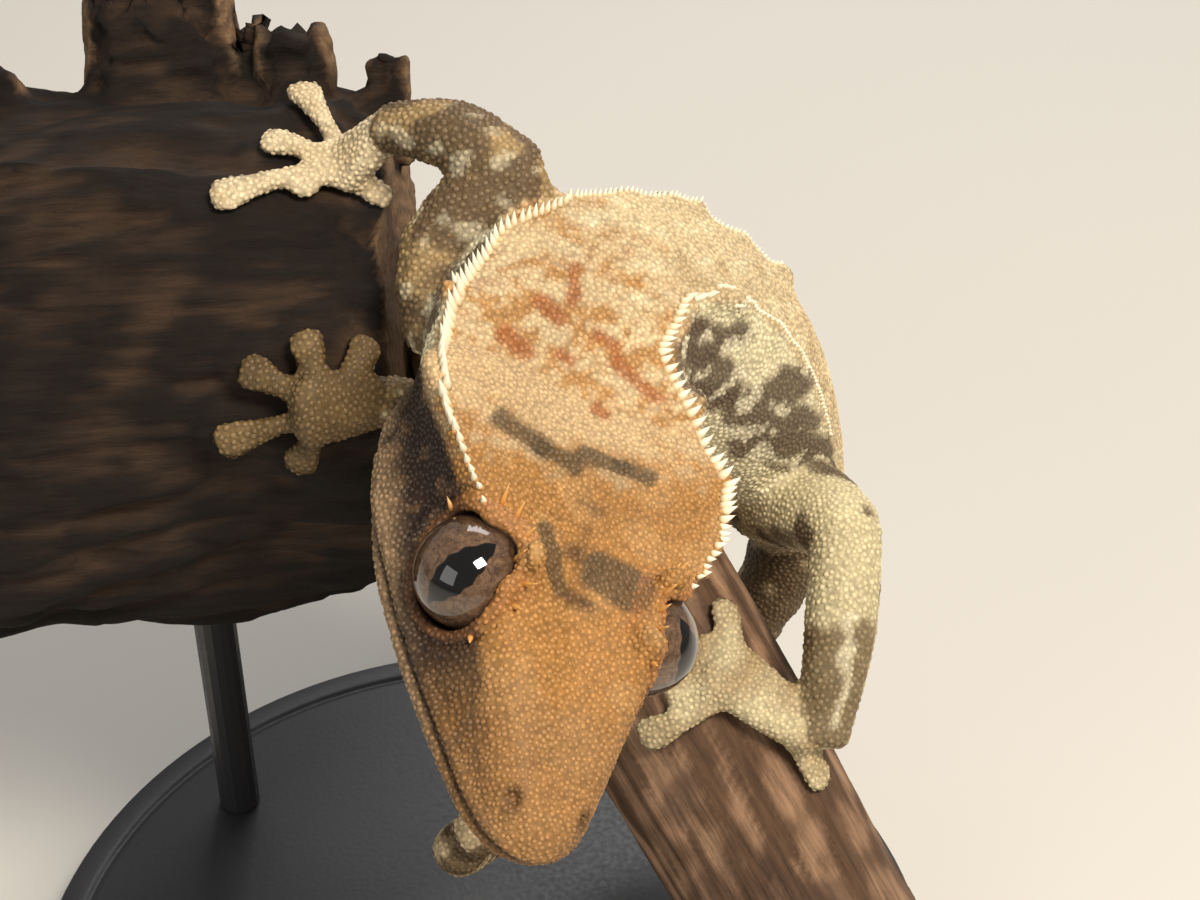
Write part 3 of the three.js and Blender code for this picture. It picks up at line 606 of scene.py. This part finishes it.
    # limbs and tail
    lay(isArm, "arm")
    lay(isArm * smooth(0.1, 0.8, mid + 0.4 * small), "armPale", 0.85)
    lay(isArm * smooth(0.7, 1.1, small), "white", 0.4)
    lay(isHand, "hand")
    # the left hand is painted darker than the right: painted shadow from the head and body above it
    lay(kind == "left_hand", "handShade")
    lay(isHand * smooth(0.2, 0.9, mid), "armPale", 0.3)
    lay(isHand * smooth(0.3, 1.0, -mid), "arm", 0.25)
    lay(isLeg, "legCream")
    lay(isLeg * smooth(0.15, 0.7, mid + 0.3 * small - 0.3), "legBrown", 0.8)
    isShin = kind == "left_shin"
    lay(isShin * facing * smooth(610, 640, py + 6 * mid), "legBrown", 0.9)
    lay(isShin * facing * smooth(24, 12, stretch(px, py, (812, 512), (828, 610))), "legCream")
    lay(isShin * facing * smooth(7, 2, stretch(px, py, (853, 620), (838, 724))), "white", 0.7)
    lay(np.isin(kind, ["left_thigh", "right_thigh"]) * smooth(-0.3, 0.4, mid), "patch", 0.8)
    lay(isFoot, "toe")
    lay(isFoot * smooth(0.1, 0.8, mid), "legCream", 0.8)
    lay(isFoot * smooth(0.1, 0.8, -mid), "armPale", 0.6)
    lay(isTail, "arm")
    lay(isTail * smooth(0.1, 0.7, mid), "cream", 0.7)
    lay(isTail * (s > 9) * smooth(35, 20, at), "cream", 0.6)
    return out * (1 + 0.06 * fine + 0.04 * big)[:, None]


skinCo, skinNormal = places(skin), normals(skin)
pick, partNames = partOf(skinCo)
toEye = np.array(camera.location) - skinCo
toEye /= np.linalg.norm(toEye, axis=1)[:, None]
facingCamera = (skinNormal * toEye).sum(1)
skinPaint = paint(skinCo, facingCamera, pick, partNames)
setColours(skin, "markingsAndPaintedLight", skinPaint)
print("markings done")

# Skin: keratin over soft tissue, granular, dull with a slight satin on the raised grains
skinMat, tree, shader = newMaterial("gecko skin", {"Roughness": 0.62, "IOR": 1.45, "Specular IOR Level": 0.4})
coords = addNode(tree, "ShaderNodeTexCoord")
hue = addNode(tree, "ShaderNodeVertexColor", {"layer_name": "markingsAndPaintedLight"})
grains = addNode(tree, "ShaderNodeTexVoronoi", {"Scale": 1 / 0.00045}, {"Vector": coords.outputs["Object"]})
# the colour is painted darker towards each grain's edge: painted shade in the grooves between the grains
dim = addNode(tree, "ShaderNodeMapRange", {"From Min": 0.15, "From Max": 0.75, "To Min": 1.0, "To Max": 0.62},
              {"Value": grains.outputs["Distance"]})
mixed = addNode(tree, "ShaderNodeVectorMath", {"operation": "SCALE"},
                {0: hue.outputs["Color"], "Scale": dim.outputs["Result"]})
tree.links.new(mixed.outputs["Vector"], shader.inputs["Base Color"])
bump = addNode(tree, "ShaderNodeBump", {"Strength": 0.5, "Distance": 0.00015, "invert": True},
               {"Height": grains.outputs["Distance"]})
tree.links.new(bump.outputs["Normal"], shader.inputs["Normal"])
give(skin, skinMat)
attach(skin, "root")
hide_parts(*trunkNodes, *limbNodes)

# Scales: each grain is a low dome rooted in the skin
scaleMat, tree, shader = newMaterial("gecko scales", {"Roughness": 0.5, "IOR": 1.5, "Specular IOR Level": 0.45})
hue = addNode(tree, "ShaderNodeVertexColor", {"layer_name": "markingsAndPaintedLight"})
tree.links.new(hue.outputs["Color"], shader.inputs["Base Color"])
scaleDict = {"spacing": 0.5, "onHead": 0.43, "onSnout": 0.38, "onLimbs": 0.56, "reach": 0.93, "tries": 5,
             "high": 0.24, "wide": 0.56, "sides": 6, "perPiece": 10500, "seed": 11, "bakeFoot": 0.0014,
             "bakeTop": 0.0009}


def unwrapSkin():
    makeActive(skin)
    skin.data.uv_layers.new(name="OFBake")
    bpy.ops.object.mode_set(mode="EDIT")
    bpy.ops.mesh.select_all(action="SELECT")
    bpy.ops.uv.smart_project(angle_limit=math.radians(66), island_margin=0.001)
    bpy.ops.object.mode_set(mode="OBJECT")


def spacingAt(points, pickAt):
    h = toHead(points)
    kind = np.array(partNames)[pickAt]
    size = np.full(len(points), scaleDict["spacing"])
    size[kind == "head"] = scaleDict["onHead"]
    size[(kind == "head") & (h[:, 0] > 13)] = scaleDict["onSnout"]
    size[np.isin(kind, ["right_upper_arm", "right_forearm", "left_shin", "right_shin"])] = scaleDict["onLimbs"]
    return size


def scatter():
    me = skin.data
    me.calc_loop_triangles()
    count = len(me.loop_triangles)
    tri = np.empty(count * 3, np.int32)
    me.loop_triangles.foreach_get("vertices", tri)
    loops = np.empty(count * 3, np.int32)
    me.loop_triangles.foreach_get("loops", loops)
    tri, loops = tri.reshape(-1, 3), loops.reshape(-1, 3)
    uv = np.empty(len(me.loops) * 2)
    me.uv_layers["OFBake"].data.foreach_get("uv", uv)
    uv = uv.reshape(-1, 2)
    corner = skinCo[tri]
    area = np.linalg.norm(np.cross(corner[:, 1] - corner[:, 0], corner[:, 2] - corner[:, 0]), axis=1) / 2
    space = spacingAt(corner.mean(1), pick[tri[:, 0]]) * mm
    weight = area / space ** 2
    local = np.random.default_rng(scaleDict["seed"])
    many = int(weight.sum() * scaleDict["tries"])
    chosen = local.choice(count, many, p=weight / weight.sum())
    w = local.random((many, 2))
    flip = w.sum(1) > 1
    w[flip] = 1 - w[flip]
    bary = np.column_stack([1 - w.sum(1), w])
    spot = (corner[chosen] * bary[:, :, None]).sum(1)
    kd = treeOf(spot)
    alive = np.ones(many, bool)
    kept = []
    reach = space[chosen] * scaleDict["reach"]
    for i in range(many):
        if alive[i]:
            kept.append(i)
            alive[[near[1] for near in kd.find_range(spot[i], reach[i])]] = False
    kept = np.array(kept)
    chosen, bary = chosen[kept], bary[kept]
    n = (skinNormal[tri[chosen]] * bary[:, :, None]).sum(1)
    n /= np.linalg.norm(n, axis=1)[:, None]
    return (spot[kept], n, (skinPaint[tri[chosen]] * bary[:, :, None]).sum(1),
            (uv[loops[chosen]] * bary[:, :, None]).sum(1), space[chosen], pick[tri[chosen, 0]])


def layScales():
    spot, n, hues, uv, space, part = scatter()
    h = toHead(spot)
    # none in the nostrils or on the eyeballs, and each part's scales together
    bare = (nostrilOff(h) < 0.6) | (eyeOffsets(h)[0] < headDict["eyeRadius"] + 0.4)
    order = np.where(~bare)[0]
    order = order[np.argsort(part[order], kind="stable")]
    spot, n, hues, uv, space = (a[order] for a in (spot, n, hues, uv, space))
    k = scaleDict["sides"]
    turn = np.arange(k) * 2 * math.pi / k
    local = np.random.default_rng(5)
    made = 0
    for start in range(0, len(spot), scaleDict["perPiece"]):
        span = slice(start, start + scaleDict["perPiece"])
        p, nn, c, q, sp = spot[span], n[span], hues[span], uv[span], space[span]
        m = len(p)
        helper = np.where(np.abs(nn[:, [2]]) < 0.8, [[0, 0, 1.0]], [[1.0, 0, 0]])
        t1 = np.cross(helper, nn)
        t1 /= np.linalg.norm(t1, axis=1)[:, None]
        t2 = np.cross(nn, t1)
        size = sp * scaleDict["wide"] * local.uniform(0.9, 1.08, m)
        high = sp * scaleDict["high"] * local.uniform(0.75, 1.25, m)
        spin = local.uniform(0, 6.3, m)
        ang = spin[:, None] + turn[None] + local.uniform(-0.12, 0.12, (m, k))
        ring = np.cos(ang)[:, :, None] * t1[:, None] + np.sin(ang)[:, :, None] * t2[:, None]
        base = p[:, None] + ring * size[:, None, None] - nn[:, None] * (0.22 * high)[:, None, None]
        mid = p[:, None] + ring * (size * 0.68)[:, None, None] + nn[:, None] * (0.68 * high)[:, None, None]
        top = (p + nn * high[:, None])[:, None]
        verts = np.concatenate([base, mid, top], 1).reshape(-1, 3)
        i = np.arange(k)
        j = (i + 1) % k
        one = np.concatenate([np.stack([i, j, k + j], 1), np.stack([i, k + j, k + i], 1),
                              np.stack([k + i, k + j, np.full(k, 2 * k)], 1)])
        tris = (one[None] + (np.arange(m) * (2 * k + 1))[:, None, None]).reshape(-1, 3)
        piece = triPiece("scales_%02d" % made, verts, tris)
        tone = c * local.uniform(0.88, 1.12, (m, 1))
        # each dome is painted darker round its foot and lighter at its top: painted shade where it meets the skin and a
        # painted highlight on top
        shade = np.concatenate([np.repeat((tone * 0.62)[:, None], k, 1), np.repeat(tone[:, None], k, 1),
                                (tone * 1.18 + 0.01)[:, None]], 1).reshape(-1, 3)
        setColours(piece, "markingsAndPaintedLight", shade)
        spokes = np.stack([np.cos(ang), np.sin(ang)], 2)
        flat = np.concatenate([spokes * scaleDict["bakeFoot"], spokes * scaleDict["bakeTop"], np.zeros((m, 1, 2))], 1)
        place = (q[:, None] + flat).reshape(-1, 2)
        layer = piece.data.uv_layers.new(name="OFBake")
        index = np.empty(len(piece.data.loops), np.int32)
        piece.data.loops.foreach_get("vertex_index", index)
        layer.data.foreach_set("uv", place[index].ravel())
        give(piece, scaleMat)
        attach(piece, "root")
        made += 1
    print("scales", len(spot), "in", made, "pieces")


unwrapSkin()
layScales()

# Crest and lash spines: ivory keratin cones with a slight backward curve
spineMat, tree, shader = newMaterial("ivory spine keratin", {"Roughness": 0.38, "IOR": 1.54, "Coat Weight": 0.15})
hue = addNode(tree, "ShaderNodeVertexColor", {"layer_name": "markingsAndPaintedLight"})
tree.links.new(hue.outputs["Color"], shader.inputs["Base Color"])
crestDict = {"long": 1.65, "wide": 0.46, "step": 0.84, "end": 4.7, "lash": 1.5, "lashes": 10,
             "leftShare": 0.72}
skinTree = BVHTree.FromPolygons([Vector(v) for v in skinCo], [tuple(p.vertices) for p in skin.data.polygons])


def onSkin(p):
    hit = skinTree.find_nearest(Vector(p))
    return np.array(hit[0]), np.array(hit[1])


def spikes(name, items, tipHue, rootHue):
    verts, tris, hues = [], [], []
    sides, rows = 8, 4
    for root, lean, bend, tall, wide in items:
        lean = unit(lean)
        helper = np.array([0, 0, 1.0]) if abs(lean[2]) < 0.8 else np.array([1.0, 0, 0])
        a = unit(np.cross(helper, lean))
        b = np.cross(lean, a)
        first = len(verts)
        for r in range(rows):
            k = r / rows
            grow = 1 - k ** 1.3
            centre = root + lean * (tall * (k * 1.25 - 0.25)) * mm + bend * tall * 0.22 * k * k * mm
            for q in range(sides):
                w = 2 * math.pi * q / sides
                verts.append(centre + (a * math.cos(w) + b * math.sin(w)) * wide * grow * mm)
                hues.append(colour(rootHue) * (1 - smooth(0.0, 0.55, k)) + colour(tipHue) * smooth(0.0, 0.55, k))
        verts.append(root + lean * tall * mm + bend * tall * 0.22 * mm)
        hues.append(colour(tipHue))
        for r in range(rows - 1):
            for q in range(sides):
                p0, p1 = first + r * sides + q, first + r * sides + (q + 1) % sides
                tris += [(p0, p1, p1 + sides), (p0, p1 + sides, p0 + sides)]
        last = first + (rows - 1) * sides
        tris += [(last + q, last + (q + 1) % sides, len(verts) - 1) for q in range(sides)]
        tris += [(first, first + q + 1, first + q) for q in range(1, sides - 1)]
    piece = triPiece(name, np.array(verts), np.array(tris))
    setColours(piece, "markingsAndPaintedLight", np.array(hues))
    give(piece, spineMat)
    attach(piece, "root")


viewToWorld = toWorld(np.eye(3)) / mm - toWorld((0, 0, 0)) / mm


def turned(direction):
    return np.asarray(direction) @ viewToWorld


def crestLine(side):
    # one row from above the eye, round the head's corner and down the back: places and lean
    head = [(-2.6, 9.2, 4.9), (-4.4, 10.1, 4.8), (-7.2, 11.3, 4.6), (-10, 12.2, 4.2), (-12.8, 12.9, 3.8),
            (-14.9, 13.2, 3.3), (-16.4, 12.5, 3.0)]
    spots = [fromHead((x, side * y, z))[0] for x, y, z in head]
    outs = [turned(headAxes[1] * side * 0.7 + headAxes[2] * 0.75 - headAxes[0] * 0.15 * (i > 3))
            for i in range(len(head))]
    for s in np.arange(0.62, crestDict["end"], 0.22):
        at, along, left, top, wide, crest, speed = spineAt(s)
        spots.append(toWorld(at + left * side * crest[0] * 1.02 * rowShare(s, side) + top * crest[1] * 1.04)[0])
        out = left * side * crest[0] * 0.9 + top * crest[1]
        outs.append(turned(unit(out)))
    spots, outs = np.array(spots), np.array(outs)
    run = np.concatenate([[0], np.cumsum(np.linalg.norm(np.diff(spots, axis=0), axis=1))]) / mm
    return spots, outs, run


def crestRow(side):
    spots, outs, run = crestLine(side)
    items = []
    at = 0.3
    corner = run[6]
    while at < run[-1]:
        p, lean = (np.array([np.interp(at, run, a[:, i]) for i in range(3)]) for a in (spots, outs))
        root, n = onSkin(p)
        front = smooth(0, corner * 0.9, at)
        back = smooth(corner + 4, corner + 34, at)
        full = (0.42 + 0.58 * front) * (1 - 0.68 * back) * (crestDict["leftShare"] if side > 0 else 1)
        step = unit(np.array([np.interp(at + 0.5, run, spots[:, i]) for i in range(3)]) - p)
        # a spine stands square to the row
        lean = unit(lean) + 0.35 * n
        lean -= step * (lean @ step) * 0.8
        tall = crestDict["long"] * full * rng.uniform(0.86, 1.1)
        wide = crestDict["wide"] * (0.62 + 0.38 * front) * (1 - 0.4 * back)
        items.append((root, lean + rng.normal(size=3) * 0.035, step, tall, wide))
        at += crestDict["step"] * rng.uniform(0.92, 1.1) * (1 - 0.25 * back)
    return items


def lashRow(side):
    centre, out, up, ahead = eyeAxes(side)
    items = []
    for i in range(crestDict["lashes"]):
        w = math.radians(-5 + 20 * i)
        around = ahead * math.cos(w) + up * math.sin(w)
        p = fromHead(centre + around * 5.05 + out * (headDict["lidDepth"] + 0.3))[0]
        root, n = onSkin(p)
        lean = n * 0.3 + turned((around + out * 0.45) @ headAxes)
        tall = crestDict["lash"] * rng.uniform(0.65, 1.1) * (0.55 + 0.45 * max(0, math.sin(w)))
        items.append((root, lean, turned(headAxes[2]), tall, 0.28))
    return items


for side, word in ((1, "left"), (-1, "right")):
    spikes("crest_spines_" + word, crestRow(side), "#F1E9D0", "#D6BC8C")
    spikes("lash_spines_" + word, lashRow(side), "#D9A259", "#B5702F")
print("spines done")

# Eyes: wet cornea over a veined iris with an upright slit pupil
eyeDict = {"pupilHigh": 3.3, "pupilWide": 1.3, "gaze": (0.56, 0.60, 0.57), "bulge": 0.28,
           "iris": "#765D48", "vein": "#453226", "rim": "#241914", "pupil": "#050404"}
eyeMat, tree, shader = newMaterial("eye cornea over iris", {"Roughness": 0.06, "IOR": 1.38, "Coat Weight": 1.0,
                                                           "Coat Roughness": 0.02})
spot = addNode(tree, "ShaderNodeAttribute", {"attribute_name": "eyePlace"})
parts = addNode(tree, "ShaderNodeSeparateXYZ", links={"Vector": spot.outputs["Vector"]})
# slit: wide * (1 - (z / high)^2) - |x|, wavy at its edge
ratio = addNode(tree, "ShaderNodeMath", {"operation": "DIVIDE", 1: eyeDict["pupilHigh"]}, {0: parts.outputs["Z"]})
square = addNode(tree, "ShaderNodeMath", {"operation": "MULTIPLY"}, {0: ratio.outputs[0], 1: ratio.outputs[0]})
fall = addNode(tree, "ShaderNodeMath", {"operation": "SUBTRACT", 0: 1.0}, {1: square.outputs[0]})
slit = addNode(tree, "ShaderNodeMath", {"operation": "MULTIPLY", 1: eyeDict["pupilWide"]}, {0: fall.outputs[0]})
scallop = addNode(tree, "ShaderNodeMath", {"operation": "MULTIPLY", 1: 5.2}, {0: parts.outputs["Z"]})
wave = addNode(tree, "ShaderNodeMath", {"operation": "SINE"}, {0: scallop.outputs[0]})
edge = addNode(tree, "ShaderNodeMath", {"operation": "MULTIPLY_ADD", 1: 0.07}, {0: wave.outputs[0], 2: slit.outputs[0]})
across = addNode(tree, "ShaderNodeMath", {"operation": "ABSOLUTE"}, {0: parts.outputs["X"]})
inside = addNode(tree, "ShaderNodeMath", {"operation": "SUBTRACT"}, {0: edge.outputs[0], 1: across.outputs[0]})
pupil = addNode(tree, "ShaderNodeMapRange", {"From Min": -0.04, "From Max": 0.06}, {"Value": inside.outputs[0]})
veins = addNode(tree, "ShaderNodeTexNoise", {"Scale": 1.6, "Detail": 6.0, "Roughness": 0.7, "Distortion": 1.2},
                {"Vector": spot.outputs["Vector"]})
veinRamp = addNode(tree, "ShaderNodeMapRange", {"From Min": 0.38, "From Max": 0.62}, {"Value": veins.outputs[0]})
irisHue = addNode(tree, "ShaderNodeMix", {"data_type": "RGBA", 6: toLinear(eyeDict["vein"]),
                                          7: toLinear(eyeDict["iris"])}, {0: veinRamp.outputs["Result"]})
rimOff = addNode(tree, "ShaderNodeMapRange", {"From Min": 3.2, "From Max": 1.4}, {"Value": parts.outputs["Y"]})
rimHue = addNode(tree, "ShaderNodeMix", {"data_type": "RGBA", 7: toLinear(eyeDict["rim"])},
                 {0: rimOff.outputs["Result"], 6: irisHue.outputs[2]})
eyeHue = addNode(tree, "ShaderNodeMix", {"data_type": "RGBA", 7: toLinear(eyeDict["pupil"])},
                 {0: pupil.outputs["Result"], 6: rimHue.outputs[2]})
tree.links.new(eyeHue.outputs[2], shader.inputs["Base Color"])

for side, word in ((1, "left"), (-1, "right")):
    deselect()
    bpy.ops.mesh.primitive_uv_sphere_add(segments=64, ring_count=40, radius=headDict["eyeRadius"], location=(0, 0, 0))
    eye = bpy.context.object
    eye.name = "eyeball_" + word
    gaze = unit(np.array(eyeDict["gaze"]) * (1, side, 1))
    upAxis = np.array([-0.1, 0.0, 1.0])
    upAxis = unit(upAxis - gaze * (upAxis @ gaze))
    sideAxis = np.cross(upAxis, gaze)
    co = places(eye)
    local = np.stack([co @ sideAxis, co @ gaze, co @ upAxis], 1)
    bulge = np.exp(-((local[:, 0] ** 2 + local[:, 2] ** 2) / 6.5)) * (local[:, 1] > 0)
    setPlaces(eye, fromHead(co + gaze * (eyeDict["bulge"] * bulge)[:, None] + eyeAxes(side)[0]))
    if side > 0:
        eye.data.flip_normals()
    layer = eye.data.attributes.new("eyePlace", "FLOAT_VECTOR", "POINT")
    layer.data.foreach_set("vector", local.ravel())
    makeActive(eye)
    bpy.ops.object.mode_set(mode="EDIT")
    bpy.ops.mesh.select_all(action="SELECT")
    bpy.ops.mesh.normals_make_consistent(inside=False)
    bpy.ops.object.mode_set(mode="OBJECT")
    shadeSmooth(eye)
    give(eye, eyeMat)
    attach(eye, "root")
    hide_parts("eye_" + word)
print("eyes done")

# Driftwood: weathered, fibrous along its length; hues are furrow, ridge, stain and cut end
woodDict = {"log": {"start": (-62, 8, -48), "end": (-17.5, 11, -47), "voxel": 0.62, "deep": 1.7, "ridge": 2.4,
                    "ragged": 1.1, "raggedFrom": 34, "rough": 0.85,
                    "hues": ("#17100B", "#3A2B1F", "#231811", "#80654A")},
            "branch": {"start": (-13.5, 13.4, -50), "end": (21.6, -48.2, -50), "voxel": 0.55, "deep": 0.5,
                       "ridge": 2.2, "ragged": 0, "raggedFrom": 90, "rough": 0.78,
                       "hues": ("#5A4331", "#9A7A60", "#46332A", "#A0866A")},
            "clear": 2.5, "ringStep": 1.7, "squeeze": 0.09, "grain": 0.0007}


def buildWood(node, spec, name):
    piece = copyNodes([node], name)
    remesh(piece, spec["voxel"])
    co, n = places(piece), normals(piece)
    a, b = toWorld([spec["start"], spec["end"]])
    axis = (b - a) / np.linalg.norm(b - a)
    rel = co - a
    along = rel @ axis
    flat = rel - along[:, None] * axis
    # squeeze the length so that lumps become long fibres
    fibre = flat + axis * (along * 0.14)[:, None]
    furrow = ripple(fibre, spec["ridge"], 51) + 0.6 * ripple(fibre, spec["ridge"] * 0.45, 52)
    lumps = ripple(co, 11, 53)
    # under the gecko's hands and feet the wood keeps its place
    kd = treeOf(skinCo)
    keep = np.array([min(1.0, kd.find(p)[2] / (woodDict["clear"] * mm)) for p in co])
    endness = np.abs(n @ axis)
    cut = spec["deep"] * (0.5 + 0.32 * furrow + 0.25 * lumps)
    move = -np.clip(cut, 0, 2.2) * (0.15 + 0.85 * keep ** 2) * (1 - 0.7 * smooth(0.6, 0.9, endness))
    co = co + n * (move * mm)[:, None]
    # broken tops: fibres of uneven length
    v = toView(co)
    columns = ripple(np.column_stack([v[:, 0], 0.6 * v[:, 2], 0 * v[:, 0]]) * mm, 1.5, 57)
    columns += 0.6 * ripple(np.column_stack([v[:, 0], v[:, 2], 0 * v[:, 0]]) * mm, 0.8, 58)
    rise = spec["ragged"] * smooth(spec["raggedFrom"], spec["raggedFrom"] + 9, v[:, 1]) * columns
    setPlaces(piece, co + turned((0, 1, 0)) * (rise * mm)[:, None])
    shadeSmooth(piece)
    light = smooth(-0.5, 1.2, furrow + 0.4 * ripple(co, 3.0, 54))
    furrowHue, ridgeHue, stainHue, endHue = (colour(hue)[None] for hue in spec["hues"])
    tone = furrowHue * (1 - light)[:, None] + ridgeHue * light[:, None]
    spots = smooth(0.5, 1.2, ripple(co, 6.0, 55) + 0.3 * furrow)[:, None]
    tone = tone * (1 - 0.6 * spots) + stainHue * 0.6 * spots
    cutFace = smooth(0.75, 0.95, endness)[:, None]
    # growth rings on the sawn ends
    ring = 0.5 + 0.5 * np.sin(np.linalg.norm(flat, axis=1) / mm * 2 * math.pi / woodDict["ringStep"]
                              + 1.6 * ripple(co, 10, 56))
    tone = tone * (1 - cutFace) + endHue * cutFace * (0.62 + 0.5 * ring)[:, None]
    setColours(piece, "grain", tone)
    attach(piece, "root")
    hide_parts(node)
    return piece, axis


def woodMaterial(name, axis, rough):
    # the grain's noise is turned to the wood's length and drawn out along it
    mat, tree, shader = newMaterial(name, {"Roughness": rough, "IOR": 1.5, "Specular IOR Level": 0.3})
    coords = addNode(tree, "ShaderNodeTexCoord")
    turn = Vector(axis).rotation_difference(Vector((0, 0, 1))).to_euler()
    lay = addNode(tree, "ShaderNodeMapping", {"Rotation": turn}, {"Vector": coords.outputs["Object"]})
    squeeze = addNode(tree, "ShaderNodeMapping", {"Scale": (1, 1, woodDict["squeeze"])},
                      {"Vector": lay.outputs["Vector"]})
    fibres = addNode(tree, "ShaderNodeTexNoise", {"Scale": 1 / woodDict["grain"], "Detail": 7.0, "Roughness": 0.72},
                     {"Vector": squeeze.outputs["Vector"]})
    hue = addNode(tree, "ShaderNodeVertexColor", {"layer_name": "grain"})
    dim = addNode(tree, "ShaderNodeMapRange", {"From Min": 0.3, "From Max": 0.7, "To Min": 0.45, "To Max": 1.45},
                  {"Value": fibres.outputs[0]})
    mixed = addNode(tree, "ShaderNodeVectorMath", {"operation": "SCALE"},
                    {0: hue.outputs["Color"], "Scale": dim.outputs["Result"]})
    tree.links.new(mixed.outputs["Vector"], shader.inputs["Base Color"])
    bump = addNode(tree, "ShaderNodeBump", {"Strength": 0.7, "Distance": 0.0005}, {"Height": fibres.outputs[0]})
    tree.links.new(bump.outputs["Normal"], shader.inputs["Normal"])
    return mat


logPiece, logAxis = buildWood("perch_log", woodDict["log"], "driftwood_log")
give(logPiece, woodMaterial("weathered dark driftwood", logAxis, woodDict["log"]["rough"]))
branchPiece, branchAxis = buildWood("perch_branch", woodDict["branch"], "driftwood_branch")
give(branchPiece, woodMaterial("weathered pale driftwood", branchAxis, woodDict["branch"]["rough"]))
print("wood done")

# Stand: turned aluminium plate and rods, powder coated near black, fine orange peel
standMat, tree, shader = newMaterial("powder coated aluminium", {"Base Color": toLinear("#2B2B2E"), "Roughness": 0.42})
coords = addNode(tree, "ShaderNodeTexCoord")
peel = addNode(tree, "ShaderNodeTexNoise", {"Scale": 1 / 0.0006, "Detail": 2.0}, {"Vector": coords.outputs["Object"]})
bump = addNode(tree, "ShaderNodeBump", {"Strength": 0.15, "Distance": 0.0001}, {"Height": peel.outputs[0]})
tree.links.new(bump.outputs["Normal"], shader.inputs["Normal"])
speck = addNode(tree, "ShaderNodeMapRange", {"From Min": 0.3, "From Max": 0.7, "To Min": 0.36, "To Max": 0.5},
                {"Value": peel.outputs[0]})
tree.links.new(speck.outputs["Result"], shader.inputs["Roughness"])

standDict = {"radius": 46.0, "thick": 6.0, "bevel": 0.6, "rim": 2.6, "groove": 0.4, "grooveSide": 0.5}
deselect()
bpy.ops.mesh.primitive_cylinder_add(vertices=128, radius=standDict["radius"] * mm, depth=standDict["thick"] * mm,
                                    location=(0, 0, standDict["thick"] / 2 * mm))
base = bpy.context.object
base.name = "stand_plate"
bpy.ops.object.mode_set(mode="EDIT")
bpy.ops.mesh.select_all(action="DESELECT")
bpy.ops.object.mode_set(mode="OBJECT")
for f in base.data.polygons:
    f.select = f.normal.z > 0.9
bpy.ops.object.mode_set(mode="EDIT")
bpy.ops.mesh.inset(thickness=standDict["rim"] * mm)
for way in (-1, 1):
    bpy.ops.mesh.inset(thickness=standDict["grooveSide"] * mm, depth=way * standDict["groove"] * mm)
bpy.ops.object.mode_set(mode="OBJECT")
bpy.ops.object.transform_apply(location=True, rotation=True, scale=True)
m = base.modifiers.new("edge", "BEVEL")
m.width = standDict["bevel"] * mm
m.segments = 3
m.limit_method = "ANGLE"
bpy.ops.object.modifier_apply(modifier=m.name)
bpy.ops.object.shade_smooth_by_angle(angle=math.radians(35))
give(base, standMat)
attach(base, "root")
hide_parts("stand_base")
for n in ("stand_rod_log", "stand_rod_branch"):
    give(nodes[n], standMat)
print("stand done")

# Floor and light
studioDict = {"floor": 3.0, "aim": (0, 0, 0.07), "air": "#F3EFE8", "airPower": 0.28}
deselect()
bpy.ops.mesh.primitive_plane_add(size=studioDict["floor"], location=(0, 0, -0.0002))
floor = bpy.context.object
floor.name = "floor"
floorMat, tree, shader = newMaterial("pale studio paper", {"Base Color": toLinear("#D6D3CD"), "Roughness": 0.9})
give(floor, floorMat)


def softLight(name, place, size, power, hue):
    data = bpy.data.lights.new(name, "AREA")
    data.size = size
    data.energy = power
    data.color = colour(hue)
    lamp = bpy.data.objects.new(name, data)
    bpy.context.scene.collection.objects.link(lamp)
    lamp.location = place
    lamp.rotation_euler = (Vector(studioDict["aim"]) - Vector(place)).to_track_quat("-Z", "Y").to_euler()


softLight("key", (0.20, -0.20, 0.46), 0.15, 2.9, "#FFF3E2")
softLight("fill", (-0.38, -0.35, 0.30), 0.35, 0.8, "#F4F2EE")
softLight("rim", (0.1, 0.45, 0.4), 0.3, 1.2, "#FFFFFF")
world = bpy.data.worlds.new("studio")
bpy.context.scene.world = world
world.use_nodes = True
world.node_tree.nodes["Background"].inputs["Color"].default_value = toLinear(studioDict["air"])
world.node_tree.nodes["Background"].inputs["Strength"].default_value = studioDict["airPower"]
bpy.context.scene.view_settings.view_transform = "Standard"
print("studio done")
